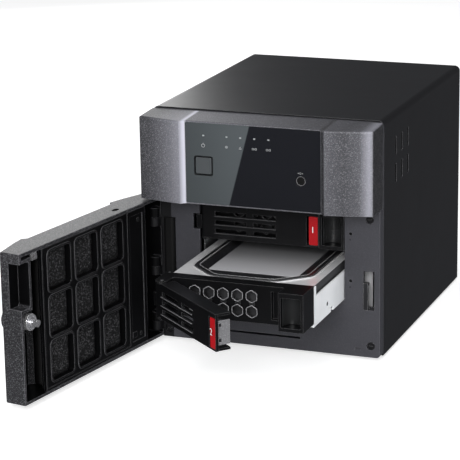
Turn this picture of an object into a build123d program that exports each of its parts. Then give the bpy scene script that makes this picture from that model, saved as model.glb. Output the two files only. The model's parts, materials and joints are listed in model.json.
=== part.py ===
"""Two-bay desktop network attached storage with a hinged front door and pull-out drive trays.

Millimetres, +X to the right as seen from the front, +Y to the back, +Z up.
The builders below work with y = 0 at the front edge of the steel cover, so what stands
in front of the cover has a negative y. save() then moves each finished piece so that
the origin lies on the ground under the middle of the steel case.
Every moving piece is built at its home place (door shut, trays in, levers shut) and is
moved to its rest place last: the door stands open, and the lower tray is drawn out with
its lever swung out.
"""
from build123d import *
import math
import os

# ---- Overall -------------------------------------------------------------------
case_width = 170.0
case_height = 170.0          # ground to the top of the cover
cover_depth = 198.0
foot_height = 2.0
foot_r = 7.0
foot_inset = 13.0            # foot to the side of the case
cover_sheet = 1.2
cover_corner = 4.0
chassis_sheet = 1.2
chassis_flange = 14.0
fit_gap = 0.3                # between pieces that only stand beside each other
slide_gap = 0.5              # beside anything that slides
through = 60.0               # reach of a cut that passes right through a wall
case_half = case_width / 2

# ---- Front profile, shared by the head and the door -------------------------------
side_depth = 25.0            # the front panels at the outer sides
crown_depth = 32.0           # the front panels at their inner edges
window_depth = 29.0          # the flat middle zone between the panels
window_half = 49.6
panel_radius = 300.0
front_wall = 2.0

# ---- Drives and trays ------------------------------------------------------------
drive_width, drive_length, drive_height = 101.6, 147.0, 26.1
drive_screw_rise = 6.35      # side screw holes above the drive's underside
drive_screw_run = (27.9, 129.5)      # the same holes behind the drive's front
bay_x = 5.8                  # middle of both bays
tray_room = 4.6              # how much wider the tray is than its drive
tray_left = bay_x - (drive_width + tray_room) / 2
tray_right = bay_x + (drive_width + tray_room) / 2
tray_base = 45.4             # underside of the lower tray's front
tray_height = 26.6
tray_pitch = tray_height + 6.4
tray_top = tray_base + tray_height
tray_proud = 0.5             # the tray's face stands this far in front of the plate
tray_wall = 1.8
front_block = 22.0           # front to back
sled_sheet = 0.9
sled_drop = 2.5              # the steel sled reaches this far below the front block
sled_height = tray_height + 1.0       # at the front tabs
sled_side = tray_height - 5.6         # behind them
sled_tab = 5.0
sled_low = tray_base - sled_drop
drive_rise = 0.8             # drive above the sled's floor
drive_low = sled_low + sled_sheet + drive_rise
drive_lid_thick = 1.2
tray_2_out = 86.0

# ---- Bezel plate ----------------------------------------------------------------
plate_depth = 8.5
plate_thick = 2.5
plate_back = plate_thick - plate_depth
bezel_bottom = 2.6
bezel_top = case_height - 1.0
bezel_wall = 2.2
bay_gap = 0.6
bay_left, bay_right = tray_left - bay_gap, tray_right + bay_gap
bay_bottom = tray_base - 3.0
bay_top = tray_top + tray_pitch + 2.6
screw_hole_r = 3.1
screw_shank_r = 1.5
screw_seat = plate_back - 0.8
bezel_screw_places = [(case_half - 6.6, 10.9), (12.1 - case_half, 9.0),
                      (case_half - 7.6, bay_top - 5.6)]
strike_left, strike_right = case_half - 12.0, case_half - 4.0
strike_low, strike_high = 37.0, 65.0
strike_bar_width = 3.6
strike_bar_top = 56.5
led_hole_r = 1.2
led_x = bay_right + (strike_left - bay_right) * 0.32
led_places = [(led_x, tray_base + 45.6), (led_x, tray_base + 11.7)]
vent_left, vent_right = -40.0, 26.6
vent_low, vent_high = 10.8, 12.4
clip_slot_x, clip_slot_z = case_half - 16.0, 8.3

# ---- Head and its window -------------------------------------------------------
head_bottom = bay_top + 1.4
head_slope = 1.2             # drop of the head's top from back to front
window_low, window_high = head_bottom + 1.4, bezel_top - 2.4
window_thick = 1.8
window_seat = window_depth - window_thick
window_proud = 0.2
button_x, button_z, button_size = -35.8, window_low + 26.4, 11.6
function_x, function_z, function_r = 34.8, window_low + 20.6, 2.9
button_gap = 0.7
function_sunk = 0.9          # the small button stands back from the window
button_flange_front, button_flange_back = 2.8 - window_depth, 4.5 - window_depth
power_travel, function_travel = 1.0, 0.8
led_row_z = window_high - 8.4
status_led_x = [-35.7, -18.6, -8.6, 1.6, 11.8]
led_width, led_height = 1.6, 1.2
guide_gap = 0.05
front_board_face = 14.0 - window_depth
switch_reach = 2.6           # front of a switch's plunger in front of the board
board_thick = 1.6

# ---- Door ------------------------------------------------------------------------
door_low, door_high = 4.3, head_bottom - 1.5
door_rear = plate_depth + 1.0        # depth of the door's inner plane
door_wall = 2.0
hinge_x, hinge_depth = 4.6 - case_half, door_rear + 3.7
hinge_relief_x = 7.5 - case_half
hinge_relief = 2.0
hinge_pin_r = 1.5
hinge_bore_gap = 0.05
lug_half = 3.1
lug_gap = 0.5
knuckle_height = 7.0
knuckle_r = 3.6
lug_places = [(9.0, 15.0), (50.0, 56.0), (door_high - 21.5, door_high - 15.5)]
hinge_cover_left, hinge_cover_right = 10.4 - case_half, 18.6 - case_half
hinge_cover_low, hinge_cover_high = 49.0, 92.0
hinge_cover_proud = 3.4
door_open = 100.1
inner_left, inner_right = 23.0 - case_half, case_half - 24.4
inner_thick = 2.4
frame_left, frame_right = inner_left + 22.0, inner_right - 1.6
frame_low, frame_high = door_low + 4.3, door_high - 2.7
cell_pitch = 31.3
cell_width, cell_height = 25.2, 27.6
cell_radius = 3.0
cell_rim = 1.2
filter_frame_thick = 5.0
foam_thick = 6.0
foam_swell = 1.8
door_screw_x, door_screw_depth = -37.0, 16.8
catch_keeper_x = case_half - 16.0
lock_x, lock_z = case_half - 10.0, strike_bar_top + 3.0
lock_r = 5.8
lock_shaft_r = 2.2
lock_groove = 1.0
cam_width, cam_length, cam_thick = 3.2, 5.6, 1.2
cam_front = plate_back + 1.0
pull_low, pull_high = door_high - 38.0, door_high - 6.5
pull_front = door_rear + 9.1
pull_deep = 9.0

# ---- Lever and catch of a tray ------------------------------------------------------
tray_front = plate_depth + tray_proud        # depth of the tray's face when home
block_back = front_block - tray_front
lever_left, lever_right = tray_left + 0.7, tray_right - 18.0
lever_sheet = 2.0            # the lever's face
lever_deep = 11.0            # face to the back of the lever's side walls
lever_edge = 0.7             # lever's reveal above and below
lever_low, lever_high = tray_base + lever_edge, tray_top - lever_edge
lever_pivot_x = lever_left + 4.0
lever_pivot_depth = 3.4      # behind the lever's face
lever_pivot_y = lever_pivot_depth - tray_front
lever_pin_r = 1.3
lever_recess = 12.0
lever_2_open = 41.0
ear_r, ear_thick, ear_gap = 4.4, 1.2, 0.3    # ears of the tray front around the pin
cam_foot_left = tray_left - 3.0
cam_foot_low, cam_foot_high = 7.6, 16.9      # above the tray's underside
notch_low, notch_high, notch_deep = cam_foot_low - 1.0, cam_foot_high + 1.0, 4.9
catch_right = lever_right - 0.8
catch_left = catch_right - 6.3
catch_height = 20.4
catch_low = tray_base + 2.2
catch_travel = 1.5
hook_deep = 9.4
hook_height = 16.4
hook_low = catch_low + 2.0
grip_left, grip_right = lever_right + 2.1, tray_right - 1.7
comb_pitch, comb_rise = 10.2, 10.6
comb_across, comb_link = 7.2, 3.8            # large openings, and the small ones between them
comb_right = catch_left - 15.1
comb_left = lever_left + 17.5
hook_room_left, hook_room_right = catch_left - 1.4, catch_right + 0.5
hook_room_low, hook_room_high = tray_base + 3.2, tray_top - 3.6
hook_room_deep = 4.0

# ---- Inside and back ---------------------------------------------------------------
cage_sheet = 1.0
cage_left = tray_left - slide_gap - cage_sheet
cage_right = tray_right + slide_gap + cage_sheet
cage_low = sled_low - slide_gap - cage_sheet
cage_high = tray_top + tray_pitch + 2.6
backplane_y = block_back + 0.6 + drive_length + 8.0
cage_front, cage_back = 1.0, backplane_y - 3.6
panel_back = cover_depth - 0.4
panel_front = panel_back - 1.2
panel_half = case_half - cover_sheet - fit_gap
psu_half, psu_length = 58.0, 122.0
psu_back = panel_front - 4.4
psu_front = psu_back - psu_length
psu_low, psu_high = cage_high + 10.4, case_height - 10.0
inlet_x, inlet_z = -30.0, (psu_low + psu_high) / 2
inlet_width, inlet_height = 27.4, 20.4
fan_size, fan_deep, fan_hole_pitch = 80.0, 20.0, 71.5
fan_x, fan_z = bay_x, psu_low - 2.0 - fan_size / 2
fan_back = panel_front - 0.2
rotor_r, hub_r, spindle_r = 36.0, 17.0, 3.0
guard_r, guard_wire = 38.0, 1.6
board_low = 7.2
board_top = board_low + board_thick
board_length = 111.4
board_front = panel_front - 1.0 - board_length
port_low = board_top + 0.2
# Cut-outs of the back panel: x, width and height
lan_places = [(-52.0, 16.2, 13.6), (-31.0, 16.2, 13.6)]
usb_places = [(-9.0, 13.4, 6.0), (9.0, 13.4, 6.0)]
lock_slot_x, lock_slot_z = case_half - 15.0, 13.5
lock_slot_width, lock_slot_height = 7.0, 3.0
head_r, head_rise = 2.9, 1.6         # pan heads on the back
ribbon_left, ribbon_right = case_half - 22.4, case_half - 9.0
ribbon_thick = 0.8


def box(x0, x1, y0, y1, z0, z1):
    """A block between two corners."""
    centre = Pos((x0 + x1) / 2, (y0 + y1) / 2, (z0 + z1) / 2)
    return centre * Box(x1 - x0, y1 - y0, z1 - z0)


def rod(x, z, y0, y1, radius):
    """A round bar along Y from y0 to y1."""
    return Pos(x, (y0 + y1) / 2, z) * Rot(90, 0, 0) * Cylinder(radius, y1 - y0)


def post(x, y, z0, z1, radius):
    """A round bar along Z from z0 to z1."""
    return Pos(x, y, (z0 + z1) / 2) * Cylinder(radius, z1 - z0)


def rounded_block(x0, x1, y0, y1, z0, z1, radius):
    """A block whose four edges along Y are rounded."""
    face = Rot(90, 0, 0) * RectangleRounded(x1 - x0, z1 - z0, radius)
    return Pos((x0 + x1) / 2, y1, (z0 + z1) / 2) * extrude(face, y1 - y0, dir=(0, -1, 0))


def slot_bar(x0, x1, y0, y1, z0, z1):
    """A bar whose narrower direction is fully rounded, y0 to y1 deep."""
    return rounded_block(x0, x1, y0, y1, z0, z1, min(x1 - x0, z1 - z0) / 2 - 0.01)


def panel_arc(start, end, radius):
    """An arc from start to end that bulges towards the front."""
    mid_x, mid_y = (start[0] + end[0]) / 2, (start[1] + end[1]) / 2
    chord = math.dist(start, end)
    sagitta = radius - math.sqrt(radius ** 2 - chord ** 2 / 4)
    run_x, run_y = (end[0] - start[0]) / chord, (end[1] - start[1]) / chord
    return ThreePointArc(start, (mid_x + run_y * sagitta, mid_y - run_x * sagitta), end)


def front_profile(inset, rear):
    """Plan outline of the curved front, set in by a wall, closed along y = rear."""
    half = case_half - inset
    slant = inset * math.tan(math.radians(22.5))
    crown_x = window_half + (crown_depth - window_depth) + slant
    flat_x = window_half + slant
    left_side, left_crown = (-half, inset - side_depth), (-crown_x, inset - crown_depth)
    right_side, right_crown = (half, inset - side_depth), (crown_x, inset - crown_depth)
    left_flat, right_flat = (-flat_x, inset - window_depth), (flat_x, inset - window_depth)
    outline = Line((-half, rear), left_side)
    outline += panel_arc(left_side, left_crown, panel_radius - inset)
    outline += Polyline(left_crown, left_flat, right_flat, right_crown)
    outline += panel_arc(right_crown, right_side, panel_radius - inset)
    outline += Polyline(right_side, (half, rear), (-half, rear))
    return make_face(outline)


def front_block_solid(inset, rear, z0, z1):
    """The front profile raised from z0 to z1."""
    return Pos(0, 0, z0) * extrude(front_profile(inset, rear), z1 - z0)


# ---- Steel case ------------------------------------------------------------------

def cover():
    """U-shaped steel cover: top and both sides, with vent slots near the front."""
    outer = box(-case_half, case_half, 0, cover_depth, foot_height, case_height)
    outer = fillet(outer.edges().filter_by(Axis.Y).group_by(Axis.Z)[-1], cover_corner)
    inner_half = case_half - cover_sheet
    inner = box(-inner_half, inner_half, -1, cover_depth + 1, foot_height - 1,
                case_height - cover_sheet)
    inner = fillet(inner.edges().filter_by(Axis.Y).group_by(Axis.Z)[-1], cover_corner - cover_sheet)
    shell = outer - inner
    vent_width, vent_height, vent_pitch, vent_front = 3.6, 13.6, 14.8, 28.5
    for column in range(3):
        y = vent_front + column * vent_pitch
        for z in (case_height - 43.0, case_height - 23.6):
            slot = Pos(0, y, z) * Rot(0, 90, 0)
            shell -= slot * extrude(SlotOverall(vent_height, vent_width), case_width, both=True)
    return shell


def base_chassis():
    """Steel floor with turned-up side flanges and cooling slots."""
    low, high = foot_height, foot_height + chassis_flange
    inner = panel_half - chassis_sheet
    tray = box(-panel_half, panel_half, 0.6, panel_back, low, high)
    tray -= box(-inner, inner, 0, cover_depth, low + chassis_sheet, high + 1)
    slot_length, slot_width, slot_pitch, first_slot = 60.0, 4.0, 12.0, 50.0
    for row in range(6):
        slot = extrude(SlotOverall(slot_length, slot_width), 8, both=True)
        tray -= Pos(0, first_slot + row * slot_pitch, low) * slot
    return tray


def feet():
    """Four rubber feet under the corners of the floor."""
    pads = []
    for x in (foot_inset - case_half, case_half - foot_inset):
        for y in (16.0, cover_depth - 14.0):
            pad = Pos(x, y, foot_height / 2) * Cylinder(foot_r, foot_height)
            pads.append(chamfer(pad.edges().group_by(Axis.Z)[0], 0.5))
    return pads


def rear_panel():
    """Steel back with openings for the fan, the ports, the inlet and the lock slot."""
    front, back = panel_front - 1, panel_back + 1
    flange_top = foot_height + chassis_flange + fit_gap
    flange_room = chassis_sheet + 0.4
    panel = box(-panel_half, panel_half, panel_front, panel_back,
                foot_height + chassis_sheet + fit_gap, case_height - cover_sheet - fit_gap)
    for side in (-1, 1):
        edge = side * panel_half
        panel -= box(edge - flange_room, edge + flange_room, front, back, 0, flange_top)
        panel -= box(edge - cover_corner, edge + cover_corner, front, back, case_height - 6,
                     case_height)
    panel -= rod(fan_x, fan_z, front, back, rotor_r + 1.0)
    for x, width, height in lan_places + usb_places:
        panel -= box(x - width / 2, x + width / 2, front, back, port_low - 0.5, port_low + height)
    panel -= box(inlet_x - inlet_width / 2, inlet_x + inlet_width / 2, front, back,
                 inlet_z - inlet_height / 2, inlet_z + inlet_height / 2)
    panel -= slot_bar(lock_slot_x - lock_slot_width / 2, lock_slot_x + lock_slot_width / 2, front,
                      back, lock_slot_z - lock_slot_height / 2, lock_slot_z + lock_slot_height / 2)
    vent_width, vent_pitch, first_vent = 2.4, 4.4, inlet_x + 34.0
    for column in range(12):
        left = first_vent + column * vent_pitch
        panel -= slot_bar(left, left + vent_width, front, back, psu_low + 6, psu_high - 6)
    return panel


def rear_screws():
    """Six pan-head screws that hold the cover and the back panel."""
    places = [(side * (case_half - 7.0), z) for z in (22.0, 90.0) for side in (-1, 1)]
    places += [(side * (case_half - 11.0), case_height - 6.0) for side in (-1, 1)]
    recess_front, recess_half, recess_wall = panel_back + 0.8, 1.6, 0.3
    screws = []
    for x, z in places:
        head = rod(x, z, panel_back, panel_back + head_rise, head_r)
        head = fillet(head.edges().group_by(Axis.Y)[-1], 0.8)
        for half_x, half_z in ((recess_half, recess_wall), (recess_wall, recess_half)):
            head -= box(x - half_x, x + half_x, recess_front, panel_back + 2, z - half_z,
                        z + half_z)
        screws.append(head)
    return screws


# ---- Front bezel -----------------------------------------------------------------

def lug_block(low, high):
    """Hinge lug that stands out of the bezel plate, bored for the hinge pin."""
    lug = post(hinge_x, -hinge_depth, low, high, lug_half)
    lug += box(hinge_x - lug_half, hinge_x + lug_half, -hinge_depth, hinge_relief - plate_depth,
               low, high)
    return lug


def front_bezel():
    """Plastic front: plate with the bay opening, rim, hinge lugs and a flange behind the head."""
    front = -plate_depth - 1
    body = rounded_block(-case_half, case_half, -plate_depth, 0, bezel_bottom, bezel_top, 2.5)
    body -= box(bezel_wall - case_half, case_half - bezel_wall, plate_back, 1,
                bezel_bottom + bezel_wall, head_bottom - bezel_wall)
    body -= box(-case_half - 1, case_half + 1, front, -bezel_wall, head_bottom - fit_gap,
                bezel_top + 1)
    body -= box(15 - case_half, case_half - 15, -plate_depth, 1, head_bottom + 12, bezel_top - 14)
    body -= box(-case_half - 1, hinge_relief_x, front, hinge_relief - plate_depth, 0, head_bottom)
    body -= box(bay_left, bay_right, front, 1, bay_bottom, bay_top)
    for level in (0, 1):
        base = tray_base + level * tray_pitch
        body -= box(bay_left - notch_deep, bay_left + 1, front, 0, base + notch_low,
                    base + notch_high)
    body -= box(strike_left, strike_right, front, 0, strike_low, strike_high)
    body -= box(vent_left, vent_right, front, 0, vent_low, vent_high)
    body -= box(clip_slot_x - 2.2, clip_slot_x + 2.2, front, 1.2 - plate_depth,
                clip_slot_z - 1.0, clip_slot_z + 1.0)
    for x, z in bezel_screw_places:
        body -= rod(x, z, front, 1, screw_hole_r)
        body += rod(x, z, screw_seat, screw_seat + 1.2, screw_hole_r + 1.0)
        body -= rod(x, z, front, 1, screw_shank_r + 0.25)
    for x, z in led_places:
        body -= rod(x, z, front, 1, led_hole_r)
    for low, high in lug_places:
        body += lug_block(low, high)
        body -= post(hinge_x, -hinge_depth, low - 1, high + 1, hinge_pin_r)
    return body


def hinge_cover():
    """Dark cover on the plate beside the door's upper hinge, rounded at its front edges."""
    solid = box(hinge_cover_left, hinge_cover_right, -plate_depth - hinge_cover_proud,
                -plate_depth, hinge_cover_low, hinge_cover_high)
    return fillet(solid.edges().filter_by(Axis.Z).group_by(Axis.Y)[0], 2.4)


def hinge_pins():
    """Three steel pins fixed in the bezel lugs, with free ends for the door's knuckles."""
    reach = lug_gap + knuckle_height - 1.0
    return [post(hinge_x, -hinge_depth, low, high + reach, hinge_pin_r)
            for low, high in lug_places]


def strike_plate():
    """Steel strike: a flanged plate behind the bezel with a bar across the pocket."""
    sheet, side_gap = 1.0, 0.2
    bar_left, bar_right = strike_left + side_gap, strike_left + strike_bar_width
    plate = box(strike_left - 3, strike_right + 1.5, plate_back, plate_back + sheet,
                strike_low - 3, strike_high + 3)
    plate -= box(strike_left, strike_right, plate_back - 1, plate_back + 2, strike_low + 2,
                 strike_high)
    bar = box(bar_left, bar_right, -plate_depth - 0.8, plate_back, strike_low + side_gap,
              strike_bar_top)
    bar -= box(strike_left - 1, bar_right + 1, 0.4 - plate_depth, plate_back + 2,
               strike_low + 2, strike_bar_top - 2)
    foot = box(bar_left, bar_right, plate_back, plate_back + sheet, strike_low, strike_low + 2)
    return plate + bar + foot


def bezel_screws():
    """Screws at the bottom of the bezel's round recesses."""
    screws = []
    for x, z in bezel_screw_places:
        head = rod(x, z, screw_seat - 1.0, screw_seat, 2.6)
        head += rod(x, z, screw_seat, screw_seat + 6.0, screw_shank_r)
        slot = box(x - 1.5, x + 1.5, screw_seat - 2, screw_seat - 0.5, z - 0.3, z + 0.3)
        screws.append(head - slot)
    return screws


def head_shell():
    """Curved front shell above the door, open at the back and in the window zone."""
    shell = front_block_solid(0, -bezel_wall, head_bottom, bezel_top)
    lid = Pos(0, 0, bezel_top) * Rot(math.degrees(math.atan(head_slope / crown_depth)), 0, 0)
    shell -= lid * Pos(0, 0, 5) * Box(case_width + 20, 100, 10)
    shell = fillet(shell.faces().sort_by(Axis.Z)[-1].edges().filter_by(
        lambda edge: edge.center().Y < -bezel_wall - 1), 1.2)
    cavity_top = bezel_top - front_wall - 1.4
    shell -= front_block_solid(front_wall, 1, head_bottom + front_wall, cavity_top)
    ledge = 2.6
    shell -= box(ledge - window_half, window_half - ledge, -through, 9.0 - window_depth,
                 window_low + 1.6, window_high - ledge)
    shell -= box(0.4 - window_half, window_half - 0.4, -through, -window_seat, window_low - 0.6,
                 window_high + 0.4)
    return shell


def window_panel():
    """Gloss-black front window with openings for the buttons and the light guides."""
    panel = rounded_block(0.5 - window_half, window_half - 0.5, -window_depth - window_proud,
                          -window_seat, window_low - 0.5, window_high + 0.3, 0.8)
    hole = button_size / 2 + button_gap
    panel -= rounded_block(button_x - hole, button_x + hole, -through, 0, button_z - hole,
                           button_z + hole, 1.2)
    panel -= rod(function_x, function_z, -through, 0, function_r + button_gap)
    for x in status_led_x:
        panel -= box(x - led_width / 2, x + led_width / 2, -through, 0,
                     led_row_z - led_height / 2, led_row_z + led_height / 2)
    return panel


def power_button():
    """Square push button with a flange behind the window and a stem."""
    half, flange = button_size / 2, button_size / 2 + 1.4
    cap = rounded_block(button_x - half, button_x + half, -window_depth - window_proud,
                        button_flange_back, button_z - half, button_z + half, 1.0)
    cap = fillet(cap.faces().sort_by(Axis.Y)[0].edges(), 0.4)
    cap += box(button_x - flange, button_x + flange, button_flange_front + power_travel,
               button_flange_back, button_z - flange, button_z + flange)
    return cap + rod(button_x, button_z, button_flange_back, front_board_face - switch_reach, 1.6)


def function_button():
    """Small round push button with a flange and a stem."""
    cap = rod(function_x, function_z, function_sunk - window_depth, button_flange_back,
              function_r)
    cap = fillet(cap.edges().group_by(Axis.Y)[0], 0.4)
    cap += rod(function_x, function_z, button_flange_front + power_travel, button_flange_back,
               function_r + 1.2)
    return cap + rod(function_x, function_z, button_flange_back,
                     front_board_face - switch_reach, 1.2)


def front_board():
    """Circuit board behind the window."""
    half = window_half - 3.6
    return box(-half, half, front_board_face, front_board_face + board_thick, head_bottom + 5.0,
               window_high - 3.1)


def switches():
    """Two tact switches on the front board, behind the buttons."""
    parts = []
    body_half, body_front, plunger_gap = 3.0, front_board_face - 1.2, 0.1
    for x, z, travel in ((button_x, button_z, power_travel),
                         (function_x, function_z, function_travel)):
        body = box(x - body_half, x + body_half, body_front, front_board_face, z - body_half,
                   z + body_half)
        plunger_front = front_board_face - switch_reach + travel + plunger_gap
        parts.append(body + rod(x, z, plunger_front, body_front, 1.5))
    return parts


def light_guides():
    """Clear guides of the window's status lights, and one beside each drive bay."""
    guides = [rod(x, z, 0.5 - plate_depth, 3 - plate_depth, led_hole_r - 0.02)
              for x, z in led_places]
    half_width, half_height = led_width / 2 - guide_gap, led_height / 2 - guide_gap
    for x in status_led_x:
        guides.append(box(x - half_width, x + half_width, 0.2 - window_depth,
                          front_board_face - 1.5, led_row_z - half_height,
                          led_row_z + half_height))
    return guides


# ---- Door ------------------------------------------------------------------------

def door_shell():
    """Outer skin of the door, hollow behind, with knuckles, lock hole and finger pull."""
    shell = front_block_solid(0, -door_rear, door_low, door_high)
    hinge_edge = (-case_half, -door_rear, (door_low + door_high) / 2)
    shell = fillet(shell.edges().filter_by(Axis.Z).sort_by_distance(hinge_edge)[0], 2.0)
    shell = fillet(shell.faces().sort_by(Axis.Z)[-1].edges().filter_by(
        lambda edge: edge.center().Y < -door_rear - 1), 0.8)
    shell -= front_block_solid(door_wall, 0, door_low + door_wall, door_high - door_wall)
    shell += box(case_half - pull_deep - 3, case_half - door_wall + 0.5, -pull_front - 2,
                 -door_rear, pull_low - 2, pull_high + 2)
    shell -= rounded_block(case_half - pull_deep - 1, case_half + 1, -pull_front, 0, pull_low,
                           pull_high, 2.0)
    for low, high in lug_places:
        knuckle_low = high + lug_gap
        shell += knuckle(knuckle_low, knuckle_low + knuckle_height)
        shell -= box(-case_half - 1, hinge_x + lug_half + 1.8, -hinge_depth - 4.6, 0,
                     low - lug_gap, high + lug_gap)
        shell -= post(hinge_x, -hinge_depth, low - 1, knuckle_low + knuckle_height - 0.6,
                      hinge_pin_r + hinge_bore_gap)
    shell += rod(lock_x, lock_z, 1.0 - window_depth, -door_rear - 4.5, lock_r + 2.0)
    shell -= rod(lock_x, lock_z, -through, 0, lock_r + 0.15)
    return shell - door_screw_slot()


def door_screw_slot():
    """Slot in the door's top edge around its screw."""
    slot = extrude(SlotOverall(7.0, 3.6), 6, both=True)
    return Pos(door_screw_x, -door_screw_depth, door_high) * slot


def knuckle(low, high):
    """Block of the door around the hinge axis."""
    block = post(hinge_x, -hinge_depth, low, high, knuckle_r)
    back = knuckle_r - 1.0 - hinge_depth
    return block + box(1 - case_half, hinge_x, -hinge_depth - knuckle_r, back, low, high)


def door_inner_panel():
    """Inner plate of the door with a wide window for the filter frame."""
    rear, low, high = -door_rear, door_low + door_wall + fit_gap, door_high - door_wall - fit_gap
    panel = box(inner_left, inner_right, rear - inner_thick, rear, low, high)
    panel -= box(frame_left - fit_gap, frame_right + fit_gap, rear - 10, 0,
                 frame_low - fit_gap, frame_high + fit_gap)
    panel += box(inner_left, inner_left + 1.6, rear - 12.0, rear - inner_thick, low, high)
    sunk = 0.6
    panel -= box(inner_left + 3.0, frame_left - 3.0, rear - sunk, 0, door_low + 6, door_high - 6)
    panel += box(frame_left - 9.0, frame_left - 3.5, rear - sunk, rear, 13.0, 17.0)
    return panel


def cell_places():
    """Centres of the nine filter cells."""
    middle_x = (frame_left + frame_right) / 2
    middle_z = (frame_low + frame_high) / 2
    return [(middle_x + column * cell_pitch, middle_z + row * cell_pitch)
            for row in (-1, 0, 1) for column in (-1, 0, 1)]


def filter_frame():
    """Frame with nine rounded openings, each with a raised rim."""
    rear = -door_rear
    frame = box(frame_left, frame_right, rear - filter_frame_thick, rear - 0.5, frame_low,
                frame_high)
    half_x, half_z = cell_width / 2, cell_height / 2
    for x, z in cell_places():
        frame += rounded_block(x - half_x - cell_rim, x + half_x + cell_rim, rear - 1.5, rear,
                               z - half_z - cell_rim, z + half_z + cell_rim,
                               cell_radius + cell_rim)
    for x, z in cell_places():
        frame -= rounded_block(x - half_x, x + half_x, rear - 10, rear + 1, z - half_z,
                               z + half_z, cell_radius)
    return frame


def filter_foam():
    """Dust filter: a sheet of foam behind the frame, swollen into the nine openings."""
    back = -door_rear - filter_frame_thick
    sheet = box(frame_left + 1, frame_right - 1, back - foam_thick, back, frame_low + 1,
                frame_high - 1)
    clear = 0.4
    half_x, half_z = cell_width / 2 - clear, cell_height / 2 - clear
    for x, z in cell_places():
        sheet += rounded_block(x - half_x, x + half_x, back, back + foam_swell, z - half_z,
                               z + half_z, cell_radius - clear)
    return sheet


def door_catch():
    """Small steel keeper under the door's top wall, near its free side."""
    left, right = catch_keeper_x - 3, catch_keeper_x + 3
    top, low = door_high - door_wall, door_high - door_wall - 1.0
    keeper = box(left, right, -door_rear - 5, -door_rear, low, top)
    return keeper + box(left, right, -door_rear - 1.0, 0.4 - door_rear, low - 4, low)


def door_screws():
    """Screws that hold the inner plate, and the one in the door's top edge."""
    top_screw = Pos(door_screw_x, -door_screw_depth, door_high - 1.6) * Cylinder(1.7, 1.2)
    return [top_screw] + [rod(inner_left + 8, z, -door_rear - 0.6, -door_rear - 0.05, 1.6)
                          for z in (door_low + 10, door_high - 10)]


def lock_barrel():
    """Key lock that turns in the door: barrel with a keyway, a ring groove and its shaft."""
    front, back = -window_depth - 0.6, -plate_depth - 0.3
    barrel = rod(lock_x, lock_z, front, back, lock_r)
    barrel = chamfer(barrel.edges().group_by(Axis.Y)[-1], 0.5)
    barrel -= rod(lock_x, lock_z, back - lock_groove, back + 1, lock_r - 1.2)
    barrel += rod(lock_x, lock_z, back - lock_groove - 1, back - 0.2, lock_r - 2.4)
    barrel += rod(lock_x, lock_z, back - 1, cam_front, lock_shaft_r)
    barrel -= box(lock_x - 0.5, lock_x + 0.5, front - 1, front + 8, lock_z - 2.4, lock_z + 2.4)
    return barrel


def lock_cam():
    """Steel cam on the lock's shaft: it points to the right when unlocked."""
    back = cam_front + cam_thick
    cam = box(lock_x, lock_x + cam_length, cam_front, back, lock_z - cam_width / 2,
              lock_z + cam_width / 2)
    return cam + rod(lock_x, lock_z, cam_front, back, lock_shaft_r + 0.3)


# ---- Drive trays, built at the lower bay -------------------------------------------

def hex_hole(x, z, across):
    """A hexagonal opening through the front block."""
    prism = extrude(RegularPolygon(across / 2, 6, major_radius=False), 40, both=True)
    return Pos(x, 0, z) * Rot(90, 0, 0) * Rot(0, 0, 30) * prism


def pivot_ear(low, high):
    """Ear around the lever's pin, joined to the plate behind the lever."""
    ear = post(lever_pivot_x, lever_pivot_y, low, high, ear_r)
    return ear + box(tray_left, lever_pivot_x + ear_r, lever_pivot_y,
                     lever_recess - tray_front + 1, low, high)


def tray_front_block():
    """Plastic front of a tray: honeycomb plate behind the lever, pivot ears and grip pocket."""
    plate_y = lever_recess - tray_front
    block = box(tray_left, tray_right, -tray_front, block_back, tray_base, tray_top)
    block -= box(tray_left - 1, lever_right + 0.5, -tray_front - 1, plate_y, tray_base - 1,
                 tray_top + 1)
    block -= box(tray_left + tray_wall, tray_right - tray_wall, plate_y + tray_wall,
                 block_back + 1, tray_base + tray_wall, tray_top - tray_wall)
    block -= rounded_block(grip_left, grip_right, -tray_front - 1, plate_y - 1.0,
                           tray_base + 2.6, tray_top - 3.4, 1.0)
    room_back = plate_y + hook_room_deep
    block += box(hook_room_left - tray_wall, hook_room_right + tray_wall, plate_y,
                 room_back + tray_wall, tray_base + 1, tray_top - 1)
    block -= box(hook_room_left, hook_room_right, plate_y - 1, room_back, hook_room_low,
                 hook_room_high)
    middle = tray_base + tray_height / 2
    for column in range(int((comb_right - comb_left) // comb_pitch) + 1):
        x = comb_right - column * comb_pitch
        block -= hex_hole(x, middle, comb_link)
        for row in (-0.5, 0.5):
            block -= hex_hole(x, middle + row * comb_rise, comb_across)
    block += pivot_ear(tray_base, tray_base + ear_thick)
    block += pivot_ear(tray_top - ear_thick, tray_top)
    return block - post(lever_pivot_x, lever_pivot_y, tray_base - 1, tray_top + 1, lever_pin_r)


def lever_pin():
    """Steel pivot of the lever, standing in the two ears."""
    return post(lever_pivot_x, lever_pivot_y, tray_base, tray_top, lever_pin_r)


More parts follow.
